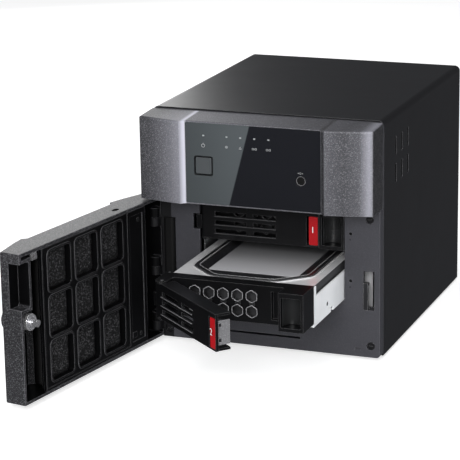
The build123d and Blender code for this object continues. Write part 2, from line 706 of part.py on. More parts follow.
def tray_lever():
    """Pull lever: slotted face, side walls, pivot barrel and a foot that enters the bezel."""
    face, wall = -tray_front, 1.6
    lever = box(lever_left, lever_right, face, face + lever_sheet, lever_low, lever_high)
    for z in (lever_low, lever_high - wall):
        lever += box(lever_pivot_x, lever_right - 0.5, face + lever_sheet, face + lever_deep, z,
                     z + wall)
    corner = (lever_left, face, tray_base + tray_height / 2)
    lever = fillet(lever.edges().filter_by(Axis.Z).sort_by_distance(corner)[0], 1.8)
    slot_height, slot_pitch, first_slot = 3.0, 6.2, lever_low + 4.4
    for row in range(3):
        z = first_slot + row * slot_pitch
        for left, right in ((lever_left + 10.6, lever_left + 34.1),
                            (lever_left + 39.2, lever_left + 56.0)):
            lever -= box(left, right, face - 1, face + 3, z, z + slot_height)
    lever += post(lever_pivot_x, lever_pivot_y, lever_low, lever_high, 2.8)
    lever += box(cam_foot_left, lever_pivot_x, face + 1.0, face + 4.0, tray_base + cam_foot_low,
                 tray_base + cam_foot_high)
    clear = ear_r + ear_gap
    for low, high in ((tray_base - 1, tray_base + ear_thick + ear_gap),
                      (tray_top - ear_thick - ear_gap, tray_top + 1)):
        lever -= post(lever_pivot_x, lever_pivot_y, low, high, clear)
        lever -= box(lever_pivot_x - clear, lever_pivot_x + clear, lever_pivot_y, face + 20, low,
                     high)
    lever -= post(lever_pivot_x, lever_pivot_y, tray_base - 1, tray_top + 1,
                  lever_pin_r + hinge_bore_gap)
    lever -= box(catch_left - catch_travel - 0.4, catch_right + 0.3, face - 1, face + 3,
                 catch_low - 0.3, catch_low + catch_height + 0.3)
    return lever


def catch_tab():
    """Coloured press tab of the lever's catch."""
    face = -tray_front
    return rounded_block(catch_left, catch_right, face - 0.2, face + lever_sheet, catch_low,
                         catch_low + catch_height, 0.6)


def catch_hook():
    """Steel plate behind the tab, with two square windows and a bent foot."""
    face, sheet = lever_sheet - tray_front, 0.8
    x, top = catch_right - 1.0, hook_low + hook_height
    plate = box(x - sheet, x, face, face + hook_deep, hook_low, top)
    for z in (hook_low + 2.0, top - 4.2):
        plate -= box(x - 2, x + 1, face + 1.2, face + 3.4, z, z + 2.4)
    return plate + box(x - 5.0, x, face, face + sheet, hook_low, top)


def sled():
    """Bright steel sled of a tray: floor, two sides and the notches on their edges."""
    y0, y1 = block_back, block_back + drive_length + 2.0
    left, right, high = tray_left + 0.1, tray_right - 0.1, sled_low + sled_height
    body = box(left, right, y0, y1, sled_low, high)
    body -= box(left + sled_sheet, right - sled_sheet, y0 - 1, y1 + 1, sled_low + sled_sheet,
                high + 1)
    body -= box(left + 12, right - 12, y0 + 14, y1 - 14, sled_low - 1, sled_low + 2)
    body -= box(left - 1, right + 1, y0 + sled_tab, y1 + 1, sled_low + sled_side, high + 1)
    notch_length, notch_rise = 5.0, 3.2
    for run in (36.0, 78.0, 120.0):
        for side in (left, right):
            body -= box(side - 2, side + 2, y0 + run, y0 + run + notch_length, sled_low - 1,
                        sled_low + notch_rise)
    for y in drive_screw_places():
        body -= Pos(0, y, drive_low + drive_screw_rise) * Rot(0, 90, 0) * Cylinder(1.7, 300)
    return body


def drive_screw_places():
    """Front-to-back places of the drive's side screws."""
    return [block_back + 0.6 + run for run in drive_screw_run]


def drive_casting():
    """Cast body of the 3.5-inch drive, hollow below for its board."""
    y0, y1 = block_back + 0.6, block_back + 0.6 + drive_length
    half, high = drive_width / 2, drive_low + drive_height - drive_lid_thick
    body = box(bay_x - half, bay_x + half, y0, y1, drive_low, high)
    body = chamfer(body.edges().filter_by(Axis.Z), 1.5)
    body -= box(bay_x - half + 6, bay_x + half - 6, y0 + 30, y1 - 4, drive_low - 1, drive_low + 4.0)
    for y in drive_screw_places():
        for side in (-1, 1):
            hole = Pos(bay_x + side * half, y, drive_low + drive_screw_rise) * Rot(0, 90, 0)
            body -= hole * Cylinder(1.55, 9)
    return body


def drive_lid():
    """Steel lid with cut corners and a raised middle."""
    y0, y1 = block_back + 0.6, block_back + 0.6 + drive_length
    half, low = drive_width / 2, drive_low + drive_height - drive_lid_thick
    lid = box(bay_x - half + 3.0, bay_x + half - 3.0, y0 + 4.0, y1 - 3.0, low, low + 0.8)
    lid = chamfer(lid.edges().filter_by(Axis.Z), 14.0)
    raised = box(bay_x - half + 10, bay_x + half - 10, y0 + 12, y1 - 34, low + 0.8, low + 1.2)
    raised = chamfer(raised.edges().filter_by(Axis.Z), 10.0)
    return lid + raised


def drive_screws():
    """Four side screws that hold the drive in its sled."""
    screws = []
    for y in drive_screw_places():
        for side, outer in ((-1, tray_left + 0.1), (1, tray_right - 0.1)):
            inner = bay_x + side * (drive_width / 2 - 3.5)
            shank = Pos((inner + outer) / 2, y, drive_low + drive_screw_rise) * Rot(0, 90, 0)
            screws.append(shank * Cylinder(1.5, abs(outer - inner)))
    return screws


# ---- Inside the case -----------------------------------------------------------------

def drive_cage():
    """Steel cage around both bays, with guide ledges for the sleds and legs on the floor."""
    cage = box(cage_left, cage_right, cage_front, cage_back, cage_low, cage_high)
    cage -= box(cage_left + cage_sheet, cage_right - cage_sheet, cage_front - 1, cage_back + 1,
                cage_low + cage_sheet, cage_high - cage_sheet)
    shelf = sled_low + tray_pitch - slide_gap
    for x0, x1 in ((cage_left, cage_left + 5.0), (cage_right - 5.0, cage_right)):
        cage += box(x0, x1, cage_front + 16, cage_back - 20, shelf - cage_sheet, shelf)
    window_length, window_height, window_pitch = 26.0, 14.0, 42.0
    for column in range(3):
        y = 30.0 + column * window_pitch
        for z in (tray_base + 6.6, tray_base + tray_pitch + 6.6):
            cage -= box(cage_left - 1, cage_right + 1, y, y + window_length, z, z + window_height)
    for x in (cage_left, cage_right - cage_sheet):
        for y in (12.0, 52.0):
            cage += box(x, x + cage_sheet, y, y + 24.0, foot_height + chassis_sheet, cage_low + 1)
    return cage


def backplane():
    """Board behind the bays that carries the drive sockets, with a slot for air."""
    y = backplane_y
    board = box(cage_left + 2, cage_right - 2, y, y + board_thick, cage_low + 2.0,
                cage_high - 2.0)
    slot_low = tray_top + 0.5
    return board - box(bay_x - 35.8, bay_x + 34.2, y - 1, y + 3, slot_low, slot_low + 3.0)


def drive_sockets():
    """Two drive sockets on the backplane."""
    left, right = bay_x - 44.0, bay_x - 4.0
    sockets = []
    for level in (0, 1):
        low = drive_low + level * tray_pitch + 1.0
        socket = box(left, right, backplane_y - 7.0, backplane_y, low, low + 6.5)
        socket -= box(left + 1.5, right - 1.5, backplane_y - 8, backplane_y - 3, low + 1.6,
                      low + 4.0)
        sockets.append(socket)
    return sockets


def main_board():
    """Main board flat above the floor."""
    half = case_half - 7.0
    return box(-half, half, board_front, board_front + board_length, board_low, board_top)


def board_spacers():
    """Spacers under the main board and behind the front board."""
    spacers = [post(side * (case_half - 13.0), board_front + run, foot_height + chassis_sheet,
                    board_low, 2.6)
               for side in (-1, 1) for run in (6.0, 104.0)]
    spacers += [rod(x, head_bottom + 9.0, front_board_face + board_thick, -bezel_wall, 2.5)
                for x in (7.6 - window_half, window_half - 7.6)]
    return spacers


def heat_sink():
    """Finned aluminium heat sink on the processor."""
    left, front, size, fin_pitch = -22.0, board_front + 16.0, 40.0, 5.6
    sink = box(left, left + size, front, front + size, board_top, board_top + 20.0)
    for index in range(7):
        x = left + 2.6 + index * fin_pitch
        sink -= box(x, x + 3.4, front - 1, front + size + 1, board_top + 4.0, board_top + 21.0)
    return sink


def memory_module():
    """Memory module standing in its socket."""
    x, front, length = 40.7, board_front + 12.0, 67.6
    card = box(x - 0.7, x + 0.7, front, front + length, board_top, board_top + 24.0)
    return card + box(x - 2.7, x + 2.7, front - 2, front + length + 2, board_top, board_top + 5.0)


def board_chips():
    """Packages on the main board, and the light-emitting diodes on the front board."""
    # x, run behind the board's front edge, width and length
    packages = [(-60, 26, 17, 17), (-60, 56, 12, 12), (53, 26, 12, 20), (53, 61, 9, 9),
                (-36, 76, 10, 10)]
    chips = []
    for x, run, width, length in packages:
        y = board_front + run
        chips.append(box(x - width / 2, x + width / 2, y - length / 2, y + length / 2, board_top,
                         board_top + 1.4))
    for x in status_led_x:
        chips.append(box(x - 1.6, x + 1.6, front_board_face - 1.2, front_board_face,
                         led_row_z - 0.9, led_row_z + 0.9))
    return chips


def lan_ports():
    """Metal shells of the two network sockets, open to the back."""
    ports = []
    mouth_front, mouth_back = panel_back - 12, panel_back + 1
    for x, width, height in lan_places:
        half = width / 2 - 0.2
        shell = box(x - half, x + half, panel_back - 20.0, panel_back + 0.2, board_top,
                    port_low + height - 0.2)
        shell -= box(x - 5.9, x + 5.9, mouth_front, mouth_back, port_low + 2.0, port_low + 9.4)
        shell -= box(x - 2.6, x + 2.6, mouth_front, mouth_back, port_low + 9.4, port_low + 11.4)
        ports.append(shell)
    return ports


def usb_ports():
    """Metal shells of the two bus sockets, each with its tongue."""
    ports = []
    mouth_front, mouth_back = panel_back - 12, panel_back + 1
    for x, width, height in usb_places:
        half = width / 2 - 0.2
        shell = box(x - half, x + half, panel_back - 14.0, panel_back + 0.2, board_top,
                    port_low + height - 0.2)
        mouth = box(x - 6.1, x + 6.1, mouth_front, mouth_back, port_low + 0.7, port_low + 5.1)
        tongue = box(x - 5.0, x + 5.0, mouth_front, panel_back - 1, port_low + 3.0,
                     port_low + 4.6)
        ports.append(shell - (mouth - tongue))
    return ports


def power_supply():
    """Steel box of the power supply, slotted in front and open behind."""
    sheet = 1.0
    case = box(-psu_half, psu_half, psu_front, psu_back, psu_low, psu_high)
    case -= box(sheet - psu_half, psu_half - sheet, psu_front + sheet, psu_back + 1,
                psu_low + sheet, psu_high - sheet)
    for index in range(9):
        left = 12.0 - psu_half + index * 11.0
        case -= box(left, left + 6.0, psu_front - 1, psu_front + 2, psu_low + 8, psu_high - 8)
    return case


def supply_parts():
    """Board, transformer, capacitors and heat sinks inside the power supply."""
    low = psu_low + 3.0
    top = low + board_thick
    parts = box(3 - psu_half, psu_half - 3, psu_front + 4, psu_back - 16, low, top)
    parts += box(10.0, 34.0, psu_front + 30, psu_front + 56, top, psu_high - 12)
    parts += post(-20.0, psu_front + 40, top, psu_high - 12, 9.0)
    parts += post(-42.0, psu_front + 30, top, psu_high - 20, 6.0)
    parts += box(-50.0, 0.0, psu_front + 70, psu_front + 73, top, psu_high - 10)
    parts += box(42.0, 45.0, psu_front + 14, psu_front + 70, top, psu_high - 10)
    return parts


def power_inlet():
    """Mains inlet of the back panel, with three blades."""
    half_w, half_h, rim = inlet_width / 2 - 0.2, inlet_height / 2 - 0.2, 2.0
    body = box(inlet_x - half_w, inlet_x + half_w, panel_back - 16, panel_back, inlet_z - half_h,
               inlet_z + half_h)
    flange = box(inlet_x - half_w - rim, inlet_x + half_w + rim, panel_back, panel_back + 1.6,
                 inlet_z - half_h - rim, inlet_z + half_h + rim)
    body += fillet(flange.edges().filter_by(Axis.Y), rim)
    well_half_w, well_half_h = 12.2, 8.2
    well = box(inlet_x - well_half_w, inlet_x + well_half_w, panel_back - 13, panel_back + 2,
               inlet_z - well_half_h, inlet_z + well_half_h)
    body -= chamfer(well.edges().filter_by(Axis.Y).group_by(Axis.Z)[-1], 4.0)
    blade_half_w, blade_half_h = 1.0, 2.2
    for x, z in ((-7.0, -0.2), (0.0, 3.6), (7.0, -0.2)):
        body += box(inlet_x + x - blade_half_w, inlet_x + x + blade_half_w, panel_back - 14,
                    panel_back - 2, inlet_z + z - blade_half_h, inlet_z + z + blade_half_h)
    return body


def fan_frame():
    """Square frame of the back fan with its motor bracket."""
    front, half = fan_back - fan_deep, fan_size / 2
    bracket = front + 3.0
    frame = box(fan_x - half, fan_x + half, front, fan_back, fan_z - half, fan_z + half)
    frame = fillet(frame.edges().filter_by(Axis.Y), 4.0)
    frame -= rod(fan_x, fan_z, front - 1, fan_back + 1, rotor_r + 2.0)
    for side in (-1, 1):
        for end in (-1, 1):
            frame -= rod(fan_x + side * fan_hole_pitch / 2, fan_z + end * fan_hole_pitch / 2,
                         front - 1, fan_back + 1, 2.1)
    frame += rod(fan_x, fan_z, front, bracket, hub_r - 1.0)
    spoke_reach = rotor_r + 6.5 - hub_r + 1.5
    for angle in (30, 120, 210, 300):
        spoke = Pos(fan_x, front + 1.5, fan_z) * Rot(0, angle, 0)
        frame += spoke * Pos(hub_r - 2.0 + spoke_reach / 2, 0, 0) * Box(spoke_reach, 3, 4)
    return frame + rod(fan_x, fan_z, bracket, front + 14.0, spindle_r)


def fan_rotor():
    """Rotor with seven blades on a hub that turns on the frame's spindle."""
    front, back = fan_back - fan_deep + 3.6, fan_back
    hub = rod(fan_x, fan_z, front, back - 1.0, hub_r)
    hub -= rod(fan_x, fan_z, front - 1, back - 4.4, spindle_r + hinge_bore_gap)
    ring = rod(fan_x, fan_z, front - 1, front + 9, hub_r - 1.6)
    hub -= ring - rod(fan_x, fan_z, front - 1, front + 9, 6.0)
    for index in range(7):
        blade = Pos(fan_x, (front + back) / 2 - 0.6, fan_z) * Rot(0, index * 360 / 7, 0)
        blade = blade * Pos((rotor_r + hub_r) / 2 - 0.5, 0, 0) * Rot(38, 0, 0)
        hub += blade * Box(rotor_r - hub_r, 1.4, 17.0)
    return hub


def guard_ring(radius):
    """One wire ring of the fan guard."""
    y0, y1 = panel_back, panel_back + guard_wire
    return rod(fan_x, fan_z, y0, y1, radius) - rod(fan_x, fan_z, y0 - 1, y1 + 1,
                                                   radius - guard_wire)


def fan_guard():
    """Wire guard over the fan opening on the back panel."""
    guard = guard_ring(guard_r)
    for radius in (11.0, 20.0, 29.0):
        guard += guard_ring(radius)
    eye_reach = fan_hole_pitch / 2 * math.sqrt(2)
    for angle in (45, 135, 225, 315):
        arm = Pos(fan_x, panel_back + guard_wire / 2, fan_z) * Rot(0, angle, 0)
        guard += arm * Pos(31.5, 0, 0) * Box(43.0, guard_wire, 1.8)
        eye = arm * Pos(eye_reach, 0, 0) * Rot(90, 0, 0)
        guard += eye * Cylinder(3.4, guard_wire)
        guard -= eye * Cylinder(1.8, 10)
    return guard


def panel_ribbon():
    """Flat ribbon cable from the front board down to the main board."""
    front, back, low = 4.0, board_front + 20.0, 19.2
    run = box(ribbon_left, ribbon_right, front, front + ribbon_thick, low, head_bottom + 21.0)
    run += box(ribbon_left, ribbon_right, front, back, low, low + ribbon_thick)
    run += box(ribbon_left, ribbon_right, back - ribbon_thick, back, board_top, low)
    return run


# ---- Placing and writing --------------------------------------------------------------

def about_z(x, y, degrees):
    """Rotation about a vertical axis through x, y."""
    return Pos(x, y, 0) * Rot(0, 0, degrees) * Pos(-x, -y, 0)


def save(name, pieces, place=None):
    """Write one node: its solids at their rest place, with the origin under the case."""
    solids = []
    for piece in pieces if isinstance(pieces, list) else [pieces]:
        moved = Pos(0, -cover_depth / 2, 0) * (place or Pos(0, 0, 0)) * piece
        solids.extend(moved.solids())
    shape = solids[0] if len(solids) == 1 else Compound(children=solids)
    export_step(shape, f"parts/{name}.step")


os.makedirs("parts", exist_ok=True)

FIXED = {
    "cover": cover, "base_chassis": base_chassis, "feet": feet, "rear_panel": rear_panel,
    "rear_screws": rear_screws, "front_bezel": front_bezel, "hinge_cover": hinge_cover,
    "hinge_pins": hinge_pins, "strike_plate": strike_plate, "bezel_screws": bezel_screws,
    "head_shell": head_shell, "window_panel": window_panel, "front_board": front_board,
    "front_switches": switches, "light_guides": light_guides, "drive_cage": drive_cage,
    "backplane": backplane, "drive_sockets": drive_sockets, "main_board": main_board,
    "board_spacers": board_spacers, "heat_sink": heat_sink, "memory_module": memory_module,
    "board_chips": board_chips, "power_supply": power_supply, "supply_parts": supply_parts,
    "power_inlet": power_inlet, "fan_frame": fan_frame, "fan_rotor": fan_rotor,
    "fan_guard": fan_guard, "panel_ribbon": panel_ribbon, "power_button": power_button,
    "function_button": function_button, "lan_ports": lan_ports, "usb_ports": usb_ports,
}
for node, build in FIXED.items():
    save(node, build())

DOOR = {
    "door_shell": door_shell, "door_inner_panel": door_inner_panel, "filter_frame": filter_frame,
    "filter_foam": filter_foam, "door_catch": door_catch, "door_screws": door_screws,
    "lock_barrel": lock_barrel, "lock_cam": lock_cam,
}
door_place = about_z(hinge_x, -hinge_depth, -door_open)
for node, build in DOOR.items():
    save(node, build(), door_place)

TRAY = {
    "front": tray_front_block, "lever_pin": lever_pin, "sled": sled,
    "drive_casting": drive_casting, "drive_lid": drive_lid, "drive_screws": drive_screws,
}
LEVER = {"lever": tray_lever, "catch_tab": catch_tab, "catch_hook": catch_hook}
upper_home = Pos(0, 0, tray_pitch)
lower_out = Pos(0, -tray_2_out, 0)
lower_swung = lower_out * about_z(lever_pivot_x, lever_pivot_y, -lever_2_open)
TRAY_PLACES = {1: (upper_home, upper_home), 2: (lower_out, lower_swung)}
for number, (tray_place, lever_place) in TRAY_PLACES.items():
    for node, build in TRAY.items():
        save(f"tray_{number}_{node}", build(), tray_place)
    for node, build in LEVER.items():
        save(f"tray_{number}_{node}", build(), lever_place)
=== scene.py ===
# %% [markdown]
# # A two-bay network storage box
#
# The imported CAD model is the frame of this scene. Every moving group of parts is a body, and
# each piece made here rides on one of them. All places are in metres, in the same frame as the
# CAD model: +X right, +Y back, +Z up, with the origin on the ground under the steel case.

import json
import math

import bmesh
import bpy
import numpy as np
from mathutils import Matrix, Vector


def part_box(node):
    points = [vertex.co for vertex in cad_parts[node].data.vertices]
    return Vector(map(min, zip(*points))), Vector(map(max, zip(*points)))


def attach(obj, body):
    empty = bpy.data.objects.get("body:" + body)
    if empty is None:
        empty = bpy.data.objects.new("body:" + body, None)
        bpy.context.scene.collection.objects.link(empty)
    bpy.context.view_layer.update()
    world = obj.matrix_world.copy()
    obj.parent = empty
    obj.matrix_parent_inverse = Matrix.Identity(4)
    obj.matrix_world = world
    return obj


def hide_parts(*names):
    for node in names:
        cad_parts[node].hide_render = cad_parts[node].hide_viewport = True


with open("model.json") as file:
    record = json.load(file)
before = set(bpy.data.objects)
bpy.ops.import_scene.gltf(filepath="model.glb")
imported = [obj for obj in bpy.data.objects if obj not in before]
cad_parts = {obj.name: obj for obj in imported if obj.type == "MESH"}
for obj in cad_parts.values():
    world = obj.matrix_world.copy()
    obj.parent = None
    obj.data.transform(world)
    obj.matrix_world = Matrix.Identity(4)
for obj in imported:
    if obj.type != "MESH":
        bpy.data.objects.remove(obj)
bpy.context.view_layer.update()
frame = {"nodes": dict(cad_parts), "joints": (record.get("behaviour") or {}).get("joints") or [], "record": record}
MM = 0.001
joints = {joint["name"]: joint for joint in frame["joints"]}

# %% [markdown]
# ## Surfaces from arrays
#
# A new piece is a surface: a grid of points worked out with numpy. It could also be pushed
# about by hand in edit mode, but a formula can be read, checked and changed. One helper turns
# any list of points and faces into a mesh, with its faces turned outwards.


# %% Mesh helpers
def quad_strip(rows, columns, close_rows, close_columns):
    """Corner numbers of the quads between neighbouring rows and columns of a grid."""
    row = np.arange(rows if close_rows else rows - 1)[:, None]
    column = np.arange(columns if close_columns else columns - 1)[None, :]
    next_row, next_column = (row + 1) % rows, (column + 1) % columns
    corners = [row * columns + column, row * columns + next_column,
               next_row * columns + next_column, next_row * columns + column]
    return np.stack([np.broadcast_to(c, (row.size, column.size)) for c in corners],
                    axis=-1).reshape(-1, 4)


def shape_mesh(name, parts, smooth=False, outward=True):
    """One mesh object from a list of (points, faces); face numbers count within their part."""
    points, faces, start = [], [], 0
    for part_points, part_faces in parts:
        flat = np.asarray(part_points, float).reshape(-1, 3)
        points.append(flat)
        faces += [tuple(int(i) + start for i in face) for face in part_faces]
        start += len(flat)
    mesh = bpy.data.meshes.new(name)
    mesh.from_pydata(np.concatenate(points), [], faces)
    mesh.validate()
    if outward:
        shape = bmesh.new()
        shape.from_mesh(mesh)
        bmesh.ops.recalc_face_normals(shape, faces=shape.faces)
        shape.to_mesh(mesh)
        shape.free()
    mesh.shade_smooth() if smooth else mesh.shade_flat()
    piece = bpy.data.objects.new(name, mesh)
    bpy.context.scene.collection.objects.link(piece)
    return piece


def rounded(corners, radius, steps=5):
    """A polygon's outline, anticlockwise, with each corner rounded by a quadratic curve.

    The curve starts and ends the radius away from the corner, along its two sides."""
    corners = np.asarray(corners, float)
    t = np.linspace(0, 1, steps)[:, None]
    points = []
    for before, corner, after in zip(np.roll(corners, 1, axis=0), corners,
                                     np.roll(corners, -1, axis=0)):
        start = corner + (before - corner) * radius / np.linalg.norm(before - corner)
        end = corner + (after - corner) * radius / np.linalg.norm(after - corner)
        points.append((1 - t) ** 2 * start + 2 * t * (1 - t) * corner + t ** 2 * end)
    return np.concatenate(points)


def rectangle(x0, x1, y0, y1, radius):
    """Outline of a rectangle with rounded corners."""
    return rounded([(x0, y0), (x1, y0), (x1, y1), (x0, y1)], radius)


def circle(x, y, radius, count=32):
    """Outline of a circle."""
    a = np.linspace(0, 2 * math.pi, count, endpoint=False)
    return np.column_stack([x + radius * np.cos(a), y + radius * np.sin(a)])


def loft(outline, profile, ring=False):
    """Points and faces of a closed shape: the outline drawn in by each inset at each height.

    Inward is to the left of the way along an anticlockwise outline. A ring's profile closes
    on itself; any other shape is closed by a face at each end."""
    along = np.roll(outline, -1, axis=0) - np.roll(outline, 1, axis=0)
    inward = np.column_stack([-along[:, 1], along[:, 0]])
    inward /= np.linalg.norm(inward, axis=1)[:, None]
    rows = [np.column_stack([outline + inward * inset, np.full(len(outline), height)])
            for inset, height in profile]
    count = len(outline)
    faces = quad_strip(len(rows), count, ring, True).tolist()
    if not ring:
        faces += [list(range(count)), list(range((len(rows) - 1) * count, len(rows) * count))]
    return np.concatenate(rows), faces


def facing_front(points, y):
    """Flat x and z with a height, stood up: the height comes forward from the plane y."""
    return np.column_stack([points[:, 0], y - points[:, 2], points[:, 1]])


def raised_from(points, z):
    """Flat x and y with a height, lying down: the height rises from the plane z."""
    return points + np.array([0, 0, z])


def finished(piece, body, material):
    """Gives a piece its material and the body that it rides on."""
    piece.data.materials.clear()
    piece.data.materials.append(material)
    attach(piece, body)
    return piece


def turned(points, about, degrees):
    """Points turned about a vertical axis through about, anticlockwise seen from above."""
    a = math.radians(degrees)
    moved = np.asarray(points, float).copy()
    x, y = moved[..., 0] - about[0], moved[..., 1] - about[1]
    moved[..., 0] = about[0] + x * math.cos(a) - y * math.sin(a)
    moved[..., 1] = about[1] + x * math.sin(a) + y * math.cos(a)
    return moved


# %% [markdown]
# ## Effects that several finishes share
#
# Moulded plastic, powder coat and sheet steel all have a fine grain, edges that catch the
# light, and a little dust. Each effect is a node group with named sockets, so that a finish
# is put together from the same few parts with its own numbers. The Bevel node rounds the
# shading of a sharp edge without touching the mesh, and where it bends the normal most the
# colour is lightened: partly paint worn thin, partly a painted highlight along the edge.


# %% Node groups
def new_group(name, inputs, outputs):
    """An empty shader node group with float, vector or colour sockets."""
    group = bpy.data.node_groups.new(name, "ShaderNodeTree")
    for label, kind, default in inputs:
        socket = group.interface.new_socket(label, in_out="INPUT", socket_type=kind)
        if default is not None:
            socket.default_value = default
    for label, kind in outputs:
        group.interface.new_socket(label, in_out="OUTPUT", socket_type=kind)
    return group, group.nodes.new("NodeGroupInput"), group.nodes.new("NodeGroupOutput")


def node(tree, kind, values=(), **settings):
    """A node with its settings, and its inputs set or linked by number or name."""
    made = tree.nodes.new(kind)
    for key, value in settings.items():
        setattr(made, key, value)
    for key, value in dict(values).items():
        if isinstance(value, bpy.types.NodeSocket):
            tree.links.new(value, made.inputs[key])
        else:
            made.inputs[key].default_value = value
    return made


def maths(tree, operation, a, b=0.0, clamp=False):
    """The output of a Math node."""
    return node(tree, "ShaderNodeMath", {0: a, 1: b}, operation=operation,
                use_clamp=clamp).outputs[0]


def ramp(tree, value, low, high, out_low=0.0, out_high=1.0):
    """Value mapped smoothly from low..high to out_low..out_high."""
    made = node(tree, "ShaderNodeMapRange", {0: value, 1: low, 2: high, 3: out_low, 4: out_high},
                interpolation_type="SMOOTHSTEP")
    return made.outputs[0]


FLOAT, VECTOR, COLOUR = "NodeSocketFloat", "NodeSocketVector", "NodeSocketColor"


def grain_group():
    """Fine grain: two octaves of noise for the height, and a broad one for uneven shade."""
    group, given, out = new_group("surface_grain", [("Vector", VECTOR, None),
                                  ("Scale", FLOAT, 1500.0)], [("Height", FLOAT), ("Shade", FLOAT)])
    fine = node(group, "ShaderNodeTexNoise", {"Vector": given.outputs["Vector"],
                "Scale": given.outputs["Scale"], "Detail": 3.0, "Roughness": 0.6})
    broad = node(group, "ShaderNodeTexNoise", {"Vector": given.outputs["Vector"], "Scale": 28.0,
                 "Detail": 4.0, "Roughness": 0.55})
    group.links.new(fine.outputs[0], out.inputs["Height"])
    group.links.new(broad.outputs[0], out.inputs["Shade"])
    return group


def fleck_group():
    """Metal flecks in paint: small cells, of which the brightest few shine."""
    group, given, out = new_group("metal_flecks", [("Vector", VECTOR, None),
                                  ("Scale", FLOAT, 1400.0), ("Share", FLOAT, 0.3)],
                                  [("Fleck", FLOAT)])
    cells = node(group, "ShaderNodeTexVoronoi", {"Vector": given.outputs["Vector"],
                 "Scale": given.outputs["Scale"]})
    bright = node(group, "ShaderNodeSeparateColor", {0: cells.outputs["Color"]})
    edge = maths(group, "SUBTRACT", 1.0, given.outputs["Share"])
    group.links.new(ramp(group, bright.outputs[0], edge, 1.0), out.inputs["Fleck"])
    return group


def edge_group():
    """Rounded shading of sharp edges, and a mask that is 1 where the edge bends most: for wear and a painted
    highlight.
    """
    group, given, out = new_group("edge_wear_and_highlight", [("Radius", FLOAT, 0.0004)],
                                  [("Normal", VECTOR), ("Edge", FLOAT)])
    bevel = node(group, "ShaderNodeBevel", {"Radius": given.outputs["Radius"]}, samples=4)
    flat = node(group, "ShaderNodeNewGeometry")
    bend = node(group, "ShaderNodeVectorMath", {0: bevel.outputs[0], 1: flat.outputs["Normal"]},
                operation="DOT_PRODUCT")
    group.links.new(bevel.outputs[0], out.inputs["Normal"])
    group.links.new(ramp(group, bend.outputs["Value"], 0.995, 0.86), out.inputs["Edge"])
    return group


def dust_group():
    """Dust that settles on faces that look up, in soft uneven patches."""
    group, given, out = new_group("settled_dust", [("Vector", VECTOR, None),
                                  ("Amount", FLOAT, 0.1)], [("Dust", FLOAT)])
    facing = node(group, "ShaderNodeNewGeometry")
    up = node(group, "ShaderNodeSeparateXYZ", {0: facing.outputs["Normal"]})
    patches = node(group, "ShaderNodeTexNoise", {"Vector": given.outputs["Vector"],
                   "Scale": 60.0, "Detail": 6.0})
    lying = maths(group, "MULTIPLY", ramp(group, up.outputs["Z"], 0.3, 1.0),
                  ramp(group, patches.outputs[0], 0.35, 0.75))
    group.links.new(maths(group, "MULTIPLY", lying, given.outputs["Amount"]), out.inputs["Dust"])
    return group


def brush_group():
    """Brushing lines: noise drawn out long in one direction of its vector."""
    group, given, out = new_group("brushing", [("Vector", VECTOR, None),
                                  ("Stretch", VECTOR, (60.0, 3000.0, 3000.0))],
                                  [("Height", FLOAT)])
    scaled = node(group, "ShaderNodeVectorMath", {0: given.outputs["Vector"],
                  1: given.outputs["Stretch"]}, operation="MULTIPLY")
    lines = node(group, "ShaderNodeTexNoise", {"Vector": scaled.outputs[0], "Scale": 1.0,
                 "Detail": 2.0})
    group.links.new(lines.outputs[0], out.inputs["Height"])
    return group


GRAIN, FLECKS, EDGE_WEAR_HIGHLIGHT = grain_group(), fleck_group(), edge_group()
DUST, BRUSH = dust_group(), brush_group()
print("node groups:", [g.name for g in bpy.data.node_groups])

# %% [markdown]
# ## Finishes
#
# A finish starts from one Principled shader. Its colour is the base colour, made uneven by
# the grain, lifted by flecks, lightened along the edges by wear and a painted highlight, and
# greyed by dust; its normal is the rounded edge with the grain's height on top. What is the
# same all over, such as the coat or the metallic value, is set on the shader itself.


# %% The finish builder
def mixed(tree, factor, a, b):
    """Colour a, going over to colour b as the factor goes to 1."""
    made = node(tree, "ShaderNodeMix", data_type="RGBA")
    for index, value in ((0, factor), (6, a), (7, b)):
        if isinstance(value, bpy.types.NodeSocket):
            tree.links.new(value, made.inputs[index])
        elif index:
            made.inputs[index].default_value = (*value, 1.0)
        else:
            made.inputs[index].default_value = value
    return made.outputs[2]


def shaded(colour, share):
    """A colour made lighter or darker."""
    return tuple(min(1.0, channel * share) for channel in colour)


def start_material(name, roughness, metallic=0.0, specular=0.5, coat=0.0):
    """A material with its Principled shader, and the object's own coordinates."""
    material = bpy.data.materials.new(name)
    material.use_nodes = True
    tree = material.node_tree
    shader = tree.nodes["Principled BSDF"]
    shader.inputs["Roughness"].default_value = roughness
    shader.inputs["Metallic"].default_value = metallic
    shader.inputs["Specular IOR Level"].default_value = specular
    if coat:
        shader.inputs["Coat Weight"].default_value = coat
        shader.inputs["Coat Roughness"].default_value = 0.12
    return material, tree, shader, node(tree, "ShaderNodeTexCoord").outputs["Object"]


